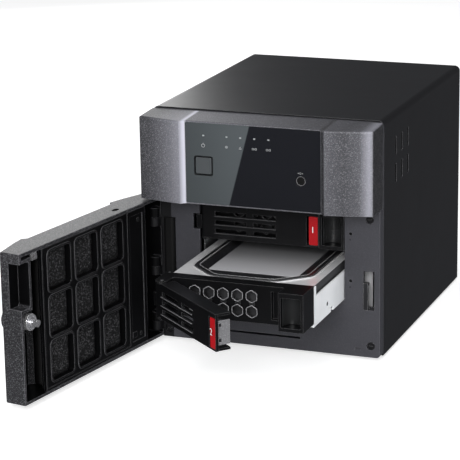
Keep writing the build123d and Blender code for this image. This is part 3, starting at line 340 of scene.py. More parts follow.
def finish(name, colour, roughness, metallic=0.0, specular=0.5, coat=0.0, grain=1500.0,
           depth=0.1, uneven=0.12, flecks=0.0, fleck_colour=(0.5, 0.5, 0.52), fleck_scale=1400.0,
           edge=0.3, edge_colour=None, radius=0.4, dust=0.05, brush=None):
    """A material from the shared effects. Radius is in millimetres, brush is its stretch."""
    material, tree, shader, place = start_material(name, roughness, metallic, specular, coat)
    grained = node(tree, "ShaderNodeGroup", node_tree=GRAIN)
    tree.links.new(place, grained.inputs["Vector"])
    grained.inputs["Scale"].default_value = grain
    shade = grained.outputs["Shade"]
    look = mixed(tree, ramp(tree, shade, 0.3, 0.7), shaded(colour, 1 - uneven),
                 shaded(colour, 1 + uneven))
    if flecks:
        flecked = node(tree, "ShaderNodeGroup", node_tree=FLECKS)
        tree.links.new(place, flecked.inputs["Vector"])
        flecked.inputs["Scale"].default_value = fleck_scale
        look = mixed(tree, maths(tree, "MULTIPLY", flecked.outputs[0], flecks), look,
                     fleck_colour)
    rubbed_and_lit_edge = node(tree, "ShaderNodeGroup", node_tree=EDGE_WEAR_HIGHLIGHT)
    rubbed_and_lit_edge.inputs["Radius"].default_value = radius * MM
    # Wear and painted highlight: the colour is lightened along edges.
    look = mixed(tree, maths(tree, "MULTIPLY", rubbed_and_lit_edge.outputs["Edge"], edge), look,
                 edge_colour or shaded(colour, 3.0))
    dusty = node(tree, "ShaderNodeGroup", node_tree=DUST)
    tree.links.new(place, dusty.inputs["Vector"])
    dusty.inputs["Amount"].default_value = dust
    look = mixed(tree, dusty.outputs[0], look, (0.32, 0.31, 0.3))
    tree.links.new(look, shader.inputs["Base Color"])
    height = grained.outputs["Height"]
    if brush:
        brushed = node(tree, "ShaderNodeGroup", node_tree=BRUSH)
        tree.links.new(place, brushed.inputs["Vector"])
        brushed.inputs["Stretch"].default_value = brush
        height = brushed.outputs[0]
    rough = maths(tree, "ADD", roughness - 0.04, maths(tree, "MULTIPLY", shade, 0.08))
    rough = maths(tree, "ADD", rough, maths(tree, "MULTIPLY", dusty.outputs[0], 0.6), clamp=True)
    tree.links.new(rough, shader.inputs["Roughness"])
    bump = node(tree, "ShaderNodeBump", {"Strength": depth, "Distance": 0.0002,
                "Height": height, "Normal": rubbed_and_lit_edge.outputs["Normal"]})
    tree.links.new(bump.outputs[0], shader.inputs["Normal"])
    return material


# %% [markdown]
# The case is black powder coat, the bezel plate is dark grey plastic with a fine metallic
# grain, and the head and the door wear the same dark metallic paint with a sparkle. Inside
# the door and on the trays the plastic is plain black. Metal parts are zinc plate, bright
# steel, turned brass and cast aluminium.

# %% Finishes of this object
ALONG_X, ALONG_Y, ALONG_Z = (60, 3000, 3000), (3000, 60, 3000), (3000, 3000, 60)
# The edge numbers lighten each finish along its edges: partly wear, partly a painted highlight.
finishes = {
    "case_paint": finish("black_powder_coat", (0.0075, 0.0076, 0.0082), 0.3, specular=0.3,
                         grain=2600, depth=0.04, uneven=0.03, edge=0.7,
                         edge_colour=(0.2, 0.2, 0.21), radius=0.6, dust=0.0),
    "zinc_steel": finish("zinc_plate", (0.5, 0.51, 0.52), 0.34, metallic=1.0, uneven=0.16,
                         depth=0.12, brush=ALONG_Y, edge_colour=(0.8, 0.8, 0.8)),
    "foot_rubber": finish("foot_rubber", (0.02, 0.02, 0.02), 0.75, depth=0.3, grain=900),
    "black_screw": finish("black_oxide", (0.02, 0.02, 0.022), 0.35, metallic=0.6, edge=0.6,
                          edge_colour=(0.3, 0.3, 0.3), radius=0.25),
    "bezel_plastic": finish("bezel_plastic", (0.04, 0.04, 0.047), 0.45, specular=0.35,
                            flecks=0.3, fleck_colour=(0.11, 0.11, 0.125), fleck_scale=3600,
                            grain=2600, depth=0.06, uneven=0.06, edge=0.6,
                            edge_colour=(0.2, 0.2, 0.22), radius=0.5, dust=0.02),
    "black_plastic": finish("black_plastic", (0.002, 0.002, 0.0023), 0.34, specular=0.17,
                            grain=2200, depth=0.05, edge=0.75,
                            edge_colour=(0.16, 0.16, 0.17), radius=0.5, dust=0.0),
    "bright_steel": finish("bright_steel", (0.66, 0.66, 0.67), 0.24, metallic=0.9,
                           brush=ALONG_Z, depth=0.1, edge_colour=(0.9, 0.9, 0.9), dust=0.0),
    "guide_clear": finish("light_guide", (0.42, 0.44, 0.45), 0.2, grain=600, depth=0.05,
                          edge=0.2),
    "circuit_green": finish("solder_mask", (0.012, 0.085, 0.035), 0.3, coat=0.4, grain=500,
                            depth=0.15, edge_colour=(0.3, 0.28, 0.12)),
    "brass_spacer": finish("turned_brass", (0.72, 0.53, 0.22), 0.25, metallic=1.0,
                           brush=ALONG_X, depth=0.1, edge_colour=(0.9, 0.75, 0.4)),
    "sink_aluminium": finish("extruded_aluminium", (0.62, 0.62, 0.64), 0.35, metallic=1.0,
                             brush=ALONG_Y, depth=0.15),
    "chip_black": finish("chip_epoxy", (0.02, 0.02, 0.021), 0.5, grain=1800, depth=0.25),
    "supply_brown": finish("wound_parts", (0.14, 0.09, 0.03), 0.5, grain=700, depth=0.3),
    "ribbon_grey": finish("flat_cable", (0.4, 0.4, 0.41), 0.5, brush=ALONG_Z, depth=0.4),
    "button_black": finish("button_satin", (0.06, 0.066, 0.07), 0.3, specular=0.3, grain=2600,
                           depth=0.04, uneven=0.04, edge=0.5, edge_colour=(0.16, 0.17, 0.18),
                           radius=0.3, dust=0.0),
    "lock_chrome": finish("polished_chrome", (0.78, 0.78, 0.8), 0.2, metallic=0.85, depth=0.05,
                          grain=500, edge_colour=(0.95, 0.95, 0.95), radius=0.3, dust=0.0),
    "tray_plastic": finish("tray_plastic", (0.0035, 0.0035, 0.004), 0.32, specular=0.3,
                           grain=2400, depth=0.04, edge=0.8, edge_colour=(0.13, 0.13, 0.135),
                           radius=0.4, dust=0.0),
    "sled_steel": finish("sled_steel", (0.86, 0.88, 0.9), 0.4, metallic=0.05, brush=ALONG_Y,
                         depth=0.03, uneven=0.05, edge_colour=(0.95, 0.95, 0.95), dust=0.0),
    "drive_aluminium": finish("cast_aluminium", (0.1, 0.1, 0.105), 0.4, metallic=0.6,
                              grain=900, depth=0.2, edge=0.4, edge_colour=(0.5, 0.5, 0.5),
                              radius=0.5, dust=0.0),
    "tab_red": finish("tab_red", (0.36, 0.004, 0.008), 0.36, specular=0.3, grain=2400,
                      depth=0.04, uneven=0.04, edge=0.35, edge_colour=(0.6, 0.08, 0.07),
                      radius=0.3, dust=0.0),
    "filter_foam": finish("filter_foam", (0.006, 0.006, 0.0065), 0.8, specular=0.2,
                          flecks=0.8, fleck_colour=(0.1, 0.1, 0.105), fleck_scale=1500,
                          grain=1400, depth=0.8, edge=0.0, dust=0.0),
}
extra = {
    "hook_grey": finish("hook_grey", (0.2, 0.2, 0.21), 0.45, metallic=0.3, flecks=0.4,
                        fleck_colour=(0.42, 0.42, 0.43), fleck_scale=2200, edge=0.8,
                        edge_colour=(0.6, 0.6, 0.62), radius=0.4),
    "drive_cover": finish("drive_cover", (0.016, 0.016, 0.018), 0.3, metallic=0.4,
                          flecks=0.4, fleck_colour=(0.11, 0.11, 0.12), fleck_scale=2400,
                          edge=1.0, edge_colour=(0.45, 0.45, 0.46), radius=0.5, dust=0.0),
    "polished_flange": finish("polished_flange", (0.86, 0.86, 0.87), 0.26, metallic=0.35,
                              grain=300, depth=0.5, uneven=0.1, edge=0.8,
                              edge_colour=(1.0, 1.0, 1.0), radius=0.8, dust=0.0),
    "grip_black": finish("grip_black", (0.014, 0.0145, 0.015), 0.28, specular=0.4,
                         grain=2400, depth=0.03, edge=0.4, dust=0.0),
    "strike_dark": finish("strike_dark", (0.02, 0.02, 0.022), 0.3, metallic=0.2, edge=1.0,
                          edge_colour=(0.7, 0.7, 0.72), radius=0.22, dust=0.0),
    # A dim grey for the painted highlights of the first tray's rims and lips.
    "dim_highlight_grey": finish("dim_highlight_grey", (0.075, 0.075, 0.078), 0.35, depth=0.02, edge=0.0,
                       dust=0.0),
    "white_print": finish("white_print", (0.75, 0.75, 0.75), 0.5, depth=0.02, edge=0.0,
                          uneven=0.03, dust=0.0),
    "grey_print": finish("grey_print", (0.36, 0.37, 0.375), 0.5, depth=0.02, edge=0.0,
                         uneven=0.03, dust=0.0),
    "dark_rubber": finish("gap_black", (0.003, 0.003, 0.0032), 0.6, specular=0.2, edge=0.1),
}
print(len(finishes) + len(extra), "finishes")

# %% [markdown]
# The head's panels curve round from the window to the sides, so each strip of them faces a
# little further round and takes its light from elsewhere. A colour ramp across the object's
# own x paints those bands of light into the colour as painted reflections: dark at the left
# edge, bright beside the window, and dark again before it brightens at the right edge.


# %% Metallic paint of the head and the door, with painted light
def darker_left_of(material, x, z, dark):
    """Paints shade: blackens a material where object x and z are both less than the given values."""
    tree = material.node_tree
    shader = tree.nodes["Principled BSDF"]
    look = shader.inputs["Base Color"].links[0].from_socket
    axes = node(tree, "ShaderNodeSeparateXYZ",
                {0: node(tree, "ShaderNodeTexCoord").outputs["Object"]})
    both = maths(tree, "MULTIPLY", maths(tree, "LESS_THAN", axes.outputs["X"], x),
                 maths(tree, "LESS_THAN", axes.outputs["Z"], z))
    tree.links.new(mixed(tree, both, look, dark), shader.inputs["Base Color"])


def sheen_finish(name, stops, low, high, axis):
    """Metallic paint with painted light: its shade follows (place, shade) stops along one object axis."""
    material, tree, shader, place = start_material(name, 0.42, metallic=0.1, specular=0.35)
    axes = node(tree, "ShaderNodeSeparateXYZ", {0: place})
    where = node(tree, "ShaderNodeMapRange", {0: axes.outputs[axis], 1: low, 2: high})
    bands = node(tree, "ShaderNodeValToRGB", {0: where.outputs[0]})
    colours = bands.color_ramp.elements
    while len(colours) < len(stops):
        colours.new(0.5)
    for element, (x, shade) in zip(colours, stops):
        element.position = (x - low) / (high - low)
        element.color = (shade, shade, shade * 1.14, 1.0)
    flecked = node(tree, "ShaderNodeGroup", node_tree=FLECKS)
    tree.links.new(place, flecked.inputs["Vector"])
    flecked.inputs["Scale"].default_value = 2700.0
    speckled = mixed(tree, maths(tree, "MULTIPLY", flecked.outputs[0], 0.24),
                     bands.outputs[0], (0.62, 0.62, 0.66))
    rubbed_and_lit_edge = node(tree, "ShaderNodeGroup", node_tree=EDGE_WEAR_HIGHLIGHT)
    rubbed_and_lit_edge.inputs["Radius"].default_value = 0.6 * MM
    # Wear and painted highlight: the colour is lightened along edges.
    look = mixed(tree, maths(tree, "MULTIPLY", rubbed_and_lit_edge.outputs["Edge"], 0.5), speckled,
                 (0.34, 0.34, 0.37))
    tree.links.new(look, shader.inputs["Base Color"])
    grained = node(tree, "ShaderNodeGroup", node_tree=GRAIN)
    tree.links.new(place, grained.inputs["Vector"])
    grained.inputs["Scale"].default_value = 2600.0
    bump = node(tree, "ShaderNodeBump", {"Strength": 0.05, "Distance": 0.0002,
                "Height": grained.outputs["Height"], "Normal": rubbed_and_lit_edge.outputs["Normal"]})
    tree.links.new(bump.outputs[0], shader.inputs["Normal"])
    return material


head_low, head_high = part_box("head_shell")
# Painted reflections: the shades of the light bands on the head's curved panels.
head_light_band_stops = [(head_low.x, 0.026), (-0.074, 0.05), (-0.060, 0.125), (-0.053, 0.2),
              (-0.0508, 0.6), (-0.0496, 0.6), (-0.0485, 0.11), (0.0, 0.08), (0.049, 0.05),
              (0.0498, 0.012), (0.0512, 0.012), (0.053, 0.075), (0.066, 0.05),
              (0.076, 0.075), (0.0825, 0.26), (0.0846, 0.2), (head_high.x, 0.012)]
finishes["panel_metallic"] = sheen_finish("head_paint_painted_sheen", head_light_band_stops, head_low.x,
                                          head_high.x, 0)
# Painted shade: the door's paint is darkest at mid height, lighter at the bottom and a little lighter at the top.
extra["door_coat_painted_shade"] = sheen_finish("door_coat_painted_shade", [(0.0, 0.017), (0.05, 0.01), (0.11, 0.013)],
                                   0.0, 0.11, 2)
# Painted shade: the bezel plate's lower left part, beside the hinge of the open door, is blackened.
darker_left_of(finishes["bezel_plastic"], -0.0695, 0.1085, (0.006, 0.006, 0.007))
print("sheen over", len(head_light_band_stops), "stops")

# %% [markdown]
# The front window is gloss black. To the left of a slanted line it is a little lighter: a
# painted reflection, worked into the colour with the object's own coordinates, so that it stays
# in place from every side.


# %% Window finish
def window_finish():
    """Gloss black, with a painted reflection lighter to the left of a slanted line."""
    material, tree, shader, place = start_material("window_gloss", 0.06, specular=0.3)
    axes = node(tree, "ShaderNodeSeparateXYZ", {0: place})
    slant_at_foot, slant_run, foot = -0.0173, 0.27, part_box("window_panel")[0].z
    rise = maths(tree, "MULTIPLY", maths(tree, "SUBTRACT", axes.outputs["Z"], foot), slant_run)
    across = maths(tree, "SUBTRACT", axes.outputs["X"],
                   maths(tree, "ADD", rise, slant_at_foot))
    left_part = ramp(tree, across, 0.0004, -0.0004)
    fade = ramp(tree, axes.outputs["X"], -0.055, -0.005)
    # Painted reflection: lighter left of the slant, and lighter still towards the middle.
    painted_reflection = mixed(tree, fade, (0.048, 0.055, 0.058), (0.068, 0.077, 0.082))
    tree.links.new(mixed(tree, left_part, (0.0095, 0.010, 0.0125), painted_reflection),
                   shader.inputs["Base Color"])
    rubbed_and_lit_edge = node(tree, "ShaderNodeGroup", node_tree=EDGE_WEAR_HIGHLIGHT)
    rubbed_and_lit_edge.inputs["Radius"].default_value = 0.5 * MM
    tree.links.new(rubbed_and_lit_edge.outputs["Normal"], shader.inputs["Normal"])
    return material


finishes["window_gloss"] = window_finish()

# %% [markdown]
# ## Dressing the CAD nodes
#
# The record names a material slot for each node. A node whose shape is right stays as it is
# and takes the finish of its slot; a few nodes are given a finish of their own.

# %% Assign the finishes
OWN = {"tray_1_catch_hook": "hook_grey", "tray_2_catch_hook": "hook_grey",
       "function_button": "dark_rubber", "strike_plate": "strike_dark",
       "hinge_cover": "dark_rubber"}
for part in frame["record"]["subparts"]:
    cad_piece, slot = frame["nodes"][part["node"]], part["material_slot"]
    material = extra.get(OWN.get(part["node"])) or finishes.get(slot)
    if material:
        cad_piece.data.materials.clear()
        cad_piece.data.materials.append(material)

# %% [markdown]
# The door is painted outside only. Seen from the door's middle, its painted faces look
# outwards and the bare black ones look inwards, so the sign of one dot product sorts them.
# The walls of the finger pull look outwards too, but lie deeper than the skin.


# %% The door's two sides
HINGE, PIVOT_2 = joints["door_hinge"]["pos_m"], joints["lever_2_swing"]["pos_m"]
DOOR_OPEN, LEVER_OPEN = -100.1, -41.0


def at_door(points):
    """Points given with the door closed, moved to where the open door stands."""
    return turned(points, HINGE, DOOR_OPEN)


def two_finishes(name, first, second, pick):
    """Gives a CAD node two finishes; pick says from centres and normals which is second."""
    mesh = frame["nodes"][name].data
    mesh.materials.clear()
    mesh.materials.append(first)
    mesh.materials.append(second)
    centres, normals = (np.array([tuple(getattr(face, key)) for face in mesh.polygons])
                        for key in ("center", "normal"))
    chosen = pick(centres, normals)
    for face, second_one in zip(mesh.polygons, chosen):
        face.material_index = int(second_one)
    return f"{name}: {int(chosen.sum())} of {len(chosen)} faces"


def bare(centres, normals):
    """Which faces of the door shell are inside, or in the finger pull, or on its knuckles."""
    home = turned(centres, HINGE, -DOOR_OPEN)
    out = turned(normals, (0, 0), -DOOR_OPEN)
    middle = (home.min(axis=0) + home.max(axis=0)) / 2
    inward = ((home - middle) * out).sum(axis=1) < 0
    inward |= (out[:, 0] > 0.9) & (home[:, 0] < home[:, 0].max() - 0.003)
    inward |= (out[:, 1] > 0.9) & (home[:, 1] < home[:, 1].max() - 0.004)
    return inward | (home[:, 0] < HINGE[0] + 0.0042)


print(two_finishes("door_shell", extra["door_coat_painted_shade"], finishes["black_plastic"], bare))
for number in (1, 2):
    print(two_finishes(f"tray_{number}_drive_casting", finishes["drive_aluminium"],
                       extra["polished_flange"], lambda centres, normals: normals[:, 2] > 0.5))
print(two_finishes("light_guides", finishes["guide_clear"], extra["dark_rubber"],
                   lambda centres, normals: centres[:, 2] < 0.105))

# %% [markdown]
# ## The filter foam
#
# Nine cushions of open foam press through the frame of the door. The surface is a grid; each
# cushion is a product of two flat-topped curves, and a sum of sines that never line up gives
# the pores. The edge of the sheet stays flat, so that its two sides and its back close it.


# %% Foam
def foam_sheet():
    """A sheet closed all round: in each cell it swells as (1 - u^6)(1 - v^6)."""
    across, tall = np.linspace(-0.039, 0.058, 150), np.linspace(0.0096, 0.1038, 150)
    x, z = np.meshgrid(across, tall)
    middle_x, middle_z, pitch = 0.0095, 0.0567, 0.0313
    half_u, half_v, half_sheet = 0.0121, 0.0133, 0.0465
    flat_front, flat_back, rise, pore_depth = -0.11355, -0.1193, 0.0022, 0.00018
    u = (x - middle_x + pitch / 2) % pitch - pitch / 2
    v = (z - middle_z + pitch / 2) % pitch - pitch / 2
    inside = ((np.abs(u) < half_u) & (np.abs(v) < half_v)
              & (np.abs(x - middle_x) < half_sheet))
    swell = np.where(inside, (1 - (u / 0.0122) ** 6) * (1 - (v / 0.0134) ** 6), 0.0)
    pores = np.sin(x * 9100) * np.sin(z * 7700) + np.sin((x + 2 * z) * 5300)
    front = flat_front + swell * (rise + pore_depth * pores)
    back = np.full_like(front, flat_back)
    rows = np.concatenate([np.stack([x, front, z], axis=-1),
                           np.stack([x, back, z], axis=-1)[::-1]])
    count = rows.shape[1]
    faces = quad_strip(len(rows), count, True, False).tolist()
    faces += [[row * count + side for row in range(len(rows))] for side in (0, count - 1)]
    return shape_mesh("door_foam", [(at_door(rows.reshape(-1, 3)), faces)], smooth=True)


foam = finished(foam_sheet(), "door", finishes["filter_foam"])
foam.data.materials.append(extra["dark_rubber"])
for cut_face in (-1, -2):
    foam.data.polygons[cut_face].material_index = 1
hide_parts("filter_foam")
print("foam:", len(foam.data.polygons), "faces")

# %% [markdown]
# ## Drive tops
#
# The top of a 3.5-inch drive is a dark pressed cover with large cut corners, set in the bright
# casting. Its raised border is a ring drawn along the outline; two thin bright rings, round its
# foot and along its inner top edge, are painted highlights; and a large plain label lies in the
# middle. The label is lighter towards the front, which is painted light on the silver film.


# %% Drive covers and labels
def label_finish(name, front, back):
    """Silver label film with painted light, going from light at its front to grey further back."""
    material, tree, shader, place = start_material(name, 0.38, metallic=0.2)
    axes = node(tree, "ShaderNodeSeparateXYZ", {0: place})
    # Painted light: the label is lighter at its front.
    look = mixed(tree, ramp(tree, axes.outputs["Y"], front, back), (0.62, 0.62, 0.64),
                 (0.13, 0.13, 0.135))
    tree.links.new(look, shader.inputs["Base Color"])
    return material


def cut_corners(x0, x1, y0, y1, side, end, radius):
    """Outline of a rectangle whose front corners are cut by side in x and end in y."""
    return rounded([(x0 + side, y0), (x1 - side, y0), (x1, y0 + end), (x1, y1 - end / 2),
                    (x1 - side / 2, y1), (x0 + side / 2, y1), (x0, y1 - end / 2),
                    (x0, y0 + end)], radius)


def drive_top(number):
    """Cover, painted highlight rings and label of one drive, on the top of its casting."""
    low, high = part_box(f"tray_{number}_drive_casting")
    outline = cut_corners(low.x + 7 * MM, high.x - 7 * MM, low.y + 5.5 * MM,
                          high.y - 5 * MM, 21 * MM, 20 * MM, 5 * MM)
    border = [(inset * MM, height * MM) for inset, height in
              ((0, 0), (0.1, 0.7), (0.6, 1.15), (3.6, 1.15), (4.3, 0.75), (5.0, 0.6))]
    points, faces = loft(outline, border)
    body, label = f"tray_{number}", label_finish(f"label_film_{number}", low.y, low.y + 0.1)
    cover = finished(shape_mesh(f"tray_{number}_drive_cover", [(raised_from(points, high.z),
                                                               faces)]),
                     body, extra["drive_cover"])
    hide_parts(f"tray_{number}_drive_lid")
    # Painted highlights: a bright ring round the foot of the border, and one along its inner top edge.
    highlight_ring = [(inset * MM, height * MM) for inset, height in
            ((-1.2, 0.02), (-1.0, 0.5), (-0.5, 0.7), (-0.05, 0.5), (-0.05, 0.02))]
    points, faces = loft(outline, highlight_ring, ring=True)
    top_edge_highlight = [(inset * MM, height * MM) for inset, height in
             ((3.5, 1.16), (3.5, 1.22), (3.75, 1.28), (4.1, 1.1), (4.1, 1.0))]
    more_points, more_faces = loft(outline, top_edge_highlight, ring=True)
    finished(shape_mesh(f"tray_{number}_drive_bead", [(raised_from(points, high.z), faces),
                        (raised_from(more_points, high.z), more_faces)]),
             body, extra["polished_flange"])
    film = rectangle(low.x + 20.5 * MM, low.x + 85 * MM, low.y + 20 * MM, low.y + 122 * MM,
                     1.0 * MM)
    points, faces = loft(film, [(0, 0.61 * MM), (0, 0.75 * MM), (0.1 * MM, 0.8 * MM)])
    finished(shape_mesh(f"tray_{number}_drive_label", [(raised_from(points, high.z), faces)]),
             body, label)


for number in (1, 2):
    drive_top(number)
print("drive tops made")

# %% [markdown]
# ## Details of the trays
#
# Each tray has a curved wall in its grip pocket and a number on its red tab. Light rims round
# the honeycomb openings and lips along the lever's slots are painted highlights on those edges,
# lighter on the second tray than on the first. The second tray's lips and number stand on the
# lever that is swung out, so they are turned about the lever's pin.


# %% Tray details
def tray_face(number):
    """The tray's box and its details' places, which follow from its right side."""
    low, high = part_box(f"tray_{number}_front")
    return low, high, high.x - 18 * MM, (low.z + high.z) / 2


def grip_wall(number):
    """A wall bent as a half ellipse round the back of the grip pocket."""
    low, high, lever_end, middle = tray_face(number)
    x0, x1, deep = lever_end + 2.4 * MM, high.x - 2.0 * MM, 10.7 * MM
    a = np.linspace(0, math.pi, 25)
    bend = np.column_stack([(x0 + x1) / 2 + (x1 - x0) / 2 * np.cos(a),
                            low.y + deep * (0.35 + 0.6 * np.sin(a))])
    outline = np.concatenate([[(x1, low.y + deep)], bend, [(x0, low.y + deep)]])[::-1]
    points, faces = loft(outline, [(0, low.z + 2.8 * MM), (0, high.z - 3.6 * MM)])
    return shape_mesh(f"tray_{number}_grip_wall", [(points, faces)])


def comb_rims(number):
    """Thin rims round the six-sided openings of the front plate, as painted highlights on their edges."""
    low, high, lever_end, middle = tray_face(number)
    columns, pitch, rise, across, plate_back = 5, 10.2, 10.6, 7.2, 12
    last, parts = lever_end - 22.2 * MM, []
    for column in range(columns):
        for row in (-0.5, 0.5):
            a = np.radians(np.arange(6) * 60.0 + 30)
            reach = across * MM / math.sqrt(3)
            centre = (last - column * pitch * MM, middle + row * rise * MM)
            corners = np.column_stack([centre[0] + reach * np.cos(a),
                                       centre[1] + reach * np.sin(a)])
            points, faces = loft(rounded(corners, 0.5 * MM, 3),
                                 [(-0.45 * MM, 0.02 * MM), (-0.4 * MM, 0.3 * MM),
                                  (0.0, 0.3 * MM), (0.0, 0.02 * MM)], ring=True)
            parts.append((facing_front(points, low.y + plate_back * MM), faces))
    return shape_mesh(f"tray_{number}_comb_rims", parts)


def slot_lips(number):
    """Thin lips along the lower edges of the lever's three rows of slots, as painted highlights."""
    low, high, lever_end, middle = tray_face(number)
    first_row, row_rise, length = 5.1, 6.2, 46
    left, parts = low.x + 11.0 * MM, []
    for row in range(3):
        z = low.z + (first_row + row_rise * row) * MM
        points, faces = loft(rectangle(left, left + length * MM, z - 0.45 * MM, z - 0.05 * MM,
                                       0.1 * MM), [(0, 0.0), (0, 0.16 * MM)])
        parts.append((facing_front(points, low.y), faces))
    if number == 2:
        parts = [(turned(points, PIVOT_2, LEVER_OPEN), faces) for points, faces in parts]
    return shape_mesh(f"lever_{number}_slot_lips", parts)


def number_mark(number):
    """The tray's number as a thin raised shape, made a mesh before it is placed."""
    words = bpy.data.curves.new(f"mark_{number}", "FONT")
    words.body, words.size, words.extrude = str(number), 6.6 * MM, 0.05 * MM
    words.align_x, words.align_y = "CENTER", "CENTER"
    words.resolution_u = 3
    typed = bpy.data.objects.new(f"mark_{number}", words)
    mesh = bpy.data.meshes.new_from_object(typed)
    bpy.data.objects.remove(typed)
    return (np.array([tuple(v.co) for v in mesh.vertices]),
            [list(face.vertices) for face in mesh.polygons])


for number in (1, 2):
    low, high, lever_end, middle = tray_face(number)
    finished(grip_wall(number), f"tray_{number}", extra["grip_black"])
    # Painted highlight: lighter grey on the second tray, which the light reaches, dim grey on the first.
    highlight_look = extra["hook_grey" if number == 2 else "dim_highlight_grey"]
    finished(comb_rims(number), f"tray_{number}", highlight_look)
    finished(slot_lips(number), f"lever_{number}", highlight_look)
    points, faces = number_mark(number)
    points = points + np.array([lever_end - 3.95 * MM, middle, 0.28 * MM])
    points = facing_front(points, low.y)
    if number == 2:
        points = turned(points, PIVOT_2, LEVER_OPEN)
    finished(shape_mesh(f"tray_{number}_number", [(points, faces)]), f"catch_{number}",
             extra["white_print"])
print("tray details made")

# %% [markdown]
# ## Marks on the window
#
# Where a maker would print words beside the lights, small plain signs stand here: a power
# ring, a dot, a triangle, and two linked squares. Each is a flat shape drawn by its outline.
# A metal ring goes round the small button, and a dark surround round the power button.


# %% Signs and rings of the window
def flat_sign(outline, face, thick=0.06, ring=None):
    """One flat shape, or a ring of that width, standing on the window's face."""
    profile = [(0, 0.01 * MM), (0, thick * MM)]
    if ring:
        profile += [(ring * MM, thick * MM), (ring * MM, 0.01 * MM)]
    points, faces = loft(outline * MM, profile, ring=bool(ring))
    return facing_front(points, face), faces


def window_signs():
    """All signs under the lights, in millimetres from the ground and the middle."""
    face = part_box("window_panel")[0].y
    z, small_z, signs = 151.2, 136.6, []
    signs.append((circle(-35.8, z, 1.35), 0.35))
    signs.append((rectangle(-36.0, -35.6, z + 0.4, z + 1.9, 0.1), None))
    signs.append((circle(-18.6, z, 0.9), 0.3))
    signs.append((circle(-18.6, z, 0.3), None))
    signs.append((rounded([(-9.7, z - 0.9), (-7.5, z - 0.9), (-8.6, z + 1.0)], 0.2), 0.3))
    for x in (1.6, 11.8):
        signs.append((rectangle(x - 1.6, x - 0.2, z - 0.7, z + 0.7, 0.2), 0.3))
        signs.append((rectangle(x + 0.4, x + 1.8, z - 0.7, z + 0.7, 0.2), 0.3))
        signs.append((rectangle(x - 0.15, x + 0.35, z - 0.15, z + 0.15, 0.05), None))
    signs.append((circle(34.8, small_z, 0.7), 0.25))
    for x in (33.0, 36.0):
        signs.append((rectangle(x, x + 0.6, small_z - 0.3, small_z + 0.3, 0.1), None))
    return [flat_sign(outline, face, ring=width) for outline, width in signs]


signs = finished(shape_mesh("window_signs", window_signs()), "case",
                 extra["grey_print"])
low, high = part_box("function_button")
centre = ((low.x + high.x) / 2 / MM, (low.z + high.z) / 2 / MM)
ring = shape_mesh("function_ring", [flat_sign(circle(*centre, 3.3), low.y, 0.3, 0.28)])
finished(ring, "case", extra["hook_grey"])
low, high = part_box("power_button")
hidden_flange, margin = 1.4, 1.15
reach = (high.x - low.x) / 2 / MM - hidden_flange + margin
centre = ((low.x + high.x) / 2 / MM, (low.z + high.z) / 2 / MM)
outline = rectangle(centre[0] - reach, centre[0] + reach, centre[1] - reach,
                    centre[1] + reach, 1.6)
surround = shape_mesh("power_surround", [flat_sign(outline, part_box("window_panel")[0].y,
                                                   0.05, 0.55)])
finished(surround, "case", extra["dark_rubber"])
print("signs made")

# %% [markdown]
# ## Small marks
#
# A small dark mark stands below each of the two bay lights.


# %% Bay marks
def bay_marks():
    """Two small upright marks on the bezel, one below each bay light."""
    face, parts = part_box("tray_1_front")[0].y + 0.5 * MM, []
    for x, z in ((63.8, 87.0), (63.7, 53.0)):
        points, faces = loft(circle(x, z, 0.45) * MM, [(0, 0.0), (0, 0.05 * MM)])
        parts.append((facing_front(points, face), faces))
    return shape_mesh("bay_marks", parts)


finished(bay_marks(), "case", extra["dark_rubber"])
print("marks made")

# %% [markdown]
# ## Camera
#
# The box is seen a little from the right and from above through a long lens, which keeps its
# edges close to parallel. The camera's own axes are worked out from its azimuth, elevation
# and a small roll.

# %% Camera
azimuth, elevation, roll = (math.radians(a) for a in (21.14, 15.70, -0.96))
back = Vector((math.sin(azimuth) * math.cos(elevation),
               -math.cos(azimuth) * math.cos(elevation), math.sin(elevation)))
right = Vector((0, 0, 1)).cross(back).normalized()
up = back.cross(right)
level_right = right * math.cos(roll) + up * math.sin(roll)
level_up = up * math.cos(roll) - right * math.sin(roll)
camera_data = bpy.data.cameras.new("camera")
camera_data.sensor_width, camera_data.lens = 36.0, 167.5
camera_data.clip_end = 50.0
camera = bpy.data.objects.new("camera", camera_data)
axes = Matrix((level_right, level_up, back)).transposed()
camera.matrix_world = Matrix.Translation((0.4972, -1.4581, 0.4932)) @ axes.to_4x4()
bpy.context.scene.collection.objects.link(camera)
bpy.context.scene.camera = camera

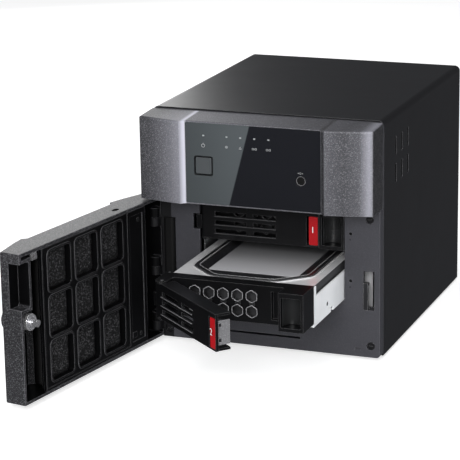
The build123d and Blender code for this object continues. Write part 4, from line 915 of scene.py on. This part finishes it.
# %% [markdown]
# ## Floor and light
#
# The floor is pale and plain. Gloss black shows whatever stands around it, so the floor is
# kept out of reflections. A large soft light stands in front, a wide one hangs overhead, and
# a weaker one on each side fills the shadows. A card of light behind the left side draws a
# soft gradient over the case's top.


# %% Stage
def stage_floor():
    """A flat pale floor, large enough to fill the view, that glows a little."""
    reach = 14.0
    corners = np.array([[-reach, -reach, 0], [reach, -reach, 0], [reach, reach, 0],
                        [-reach, reach, 0]])
    floor = shape_mesh("floor", [(corners, [(0, 1, 2, 3)])], outward=False)
    material, tree, shader, place = start_material("pale_floor", 0.9, specular=0.0)
    shader.inputs["Base Color"].default_value = (0.8, 0.8, 0.8, 1)
    shader.inputs["Emission Color"].default_value = (1, 1, 1, 1)
    shader.inputs["Emission Strength"].default_value = 0.62
    floor.data.materials.append(material)
    floor.visible_glossy = False


def area_light(name, place, target, size, power, colour=(1, 1, 1)):
    """A soft rectangular light that looks from its place at a target."""
    data = bpy.data.lights.new(name, "AREA")
    data.shape, (data.size, data.size_y) = "RECTANGLE", size
    data.energy, data.color = power, colour
    lamp = bpy.data.objects.new(name, data)
    direction = Vector(target) - Vector(place)
    lamp.matrix_world = (Matrix.Translation(place)
                         @ direction.to_track_quat("-Z", "Y").to_matrix().to_4x4())
    bpy.context.scene.collection.objects.link(lamp)


stage_floor()
middle = (0.0, -0.05, 0.09)
area_light("key", (0.5, -2.3, 1.0), middle, (1.2, 1.2), 46)
area_light("overhead", (-0.1, -0.5, 2.4), middle, (2.0, 2.0), 24)
area_light("left_fill", (-2.0, -1.2, 0.8), middle, (1.0, 1.2), 10)
area_light("right_fill", (2.2, -0.9, 0.7), middle, (0.8, 1.0), 8)
area_light("top_card", (-0.75, 1.0, 0.52), (-0.1, 0.0, 0.17), (0.45, 0.8), 3.0)

world = bpy.data.worlds.new("soft_studio")
bpy.context.scene.world = world
world.use_nodes = True
sky = world.node_tree.nodes["Background"]
sky.inputs["Color"].default_value = (0.9, 0.92, 1.0, 1)
sky.inputs["Strength"].default_value = 0.1
bpy.context.scene.view_settings.view_transform = "Standard"
print("camera and lights set")
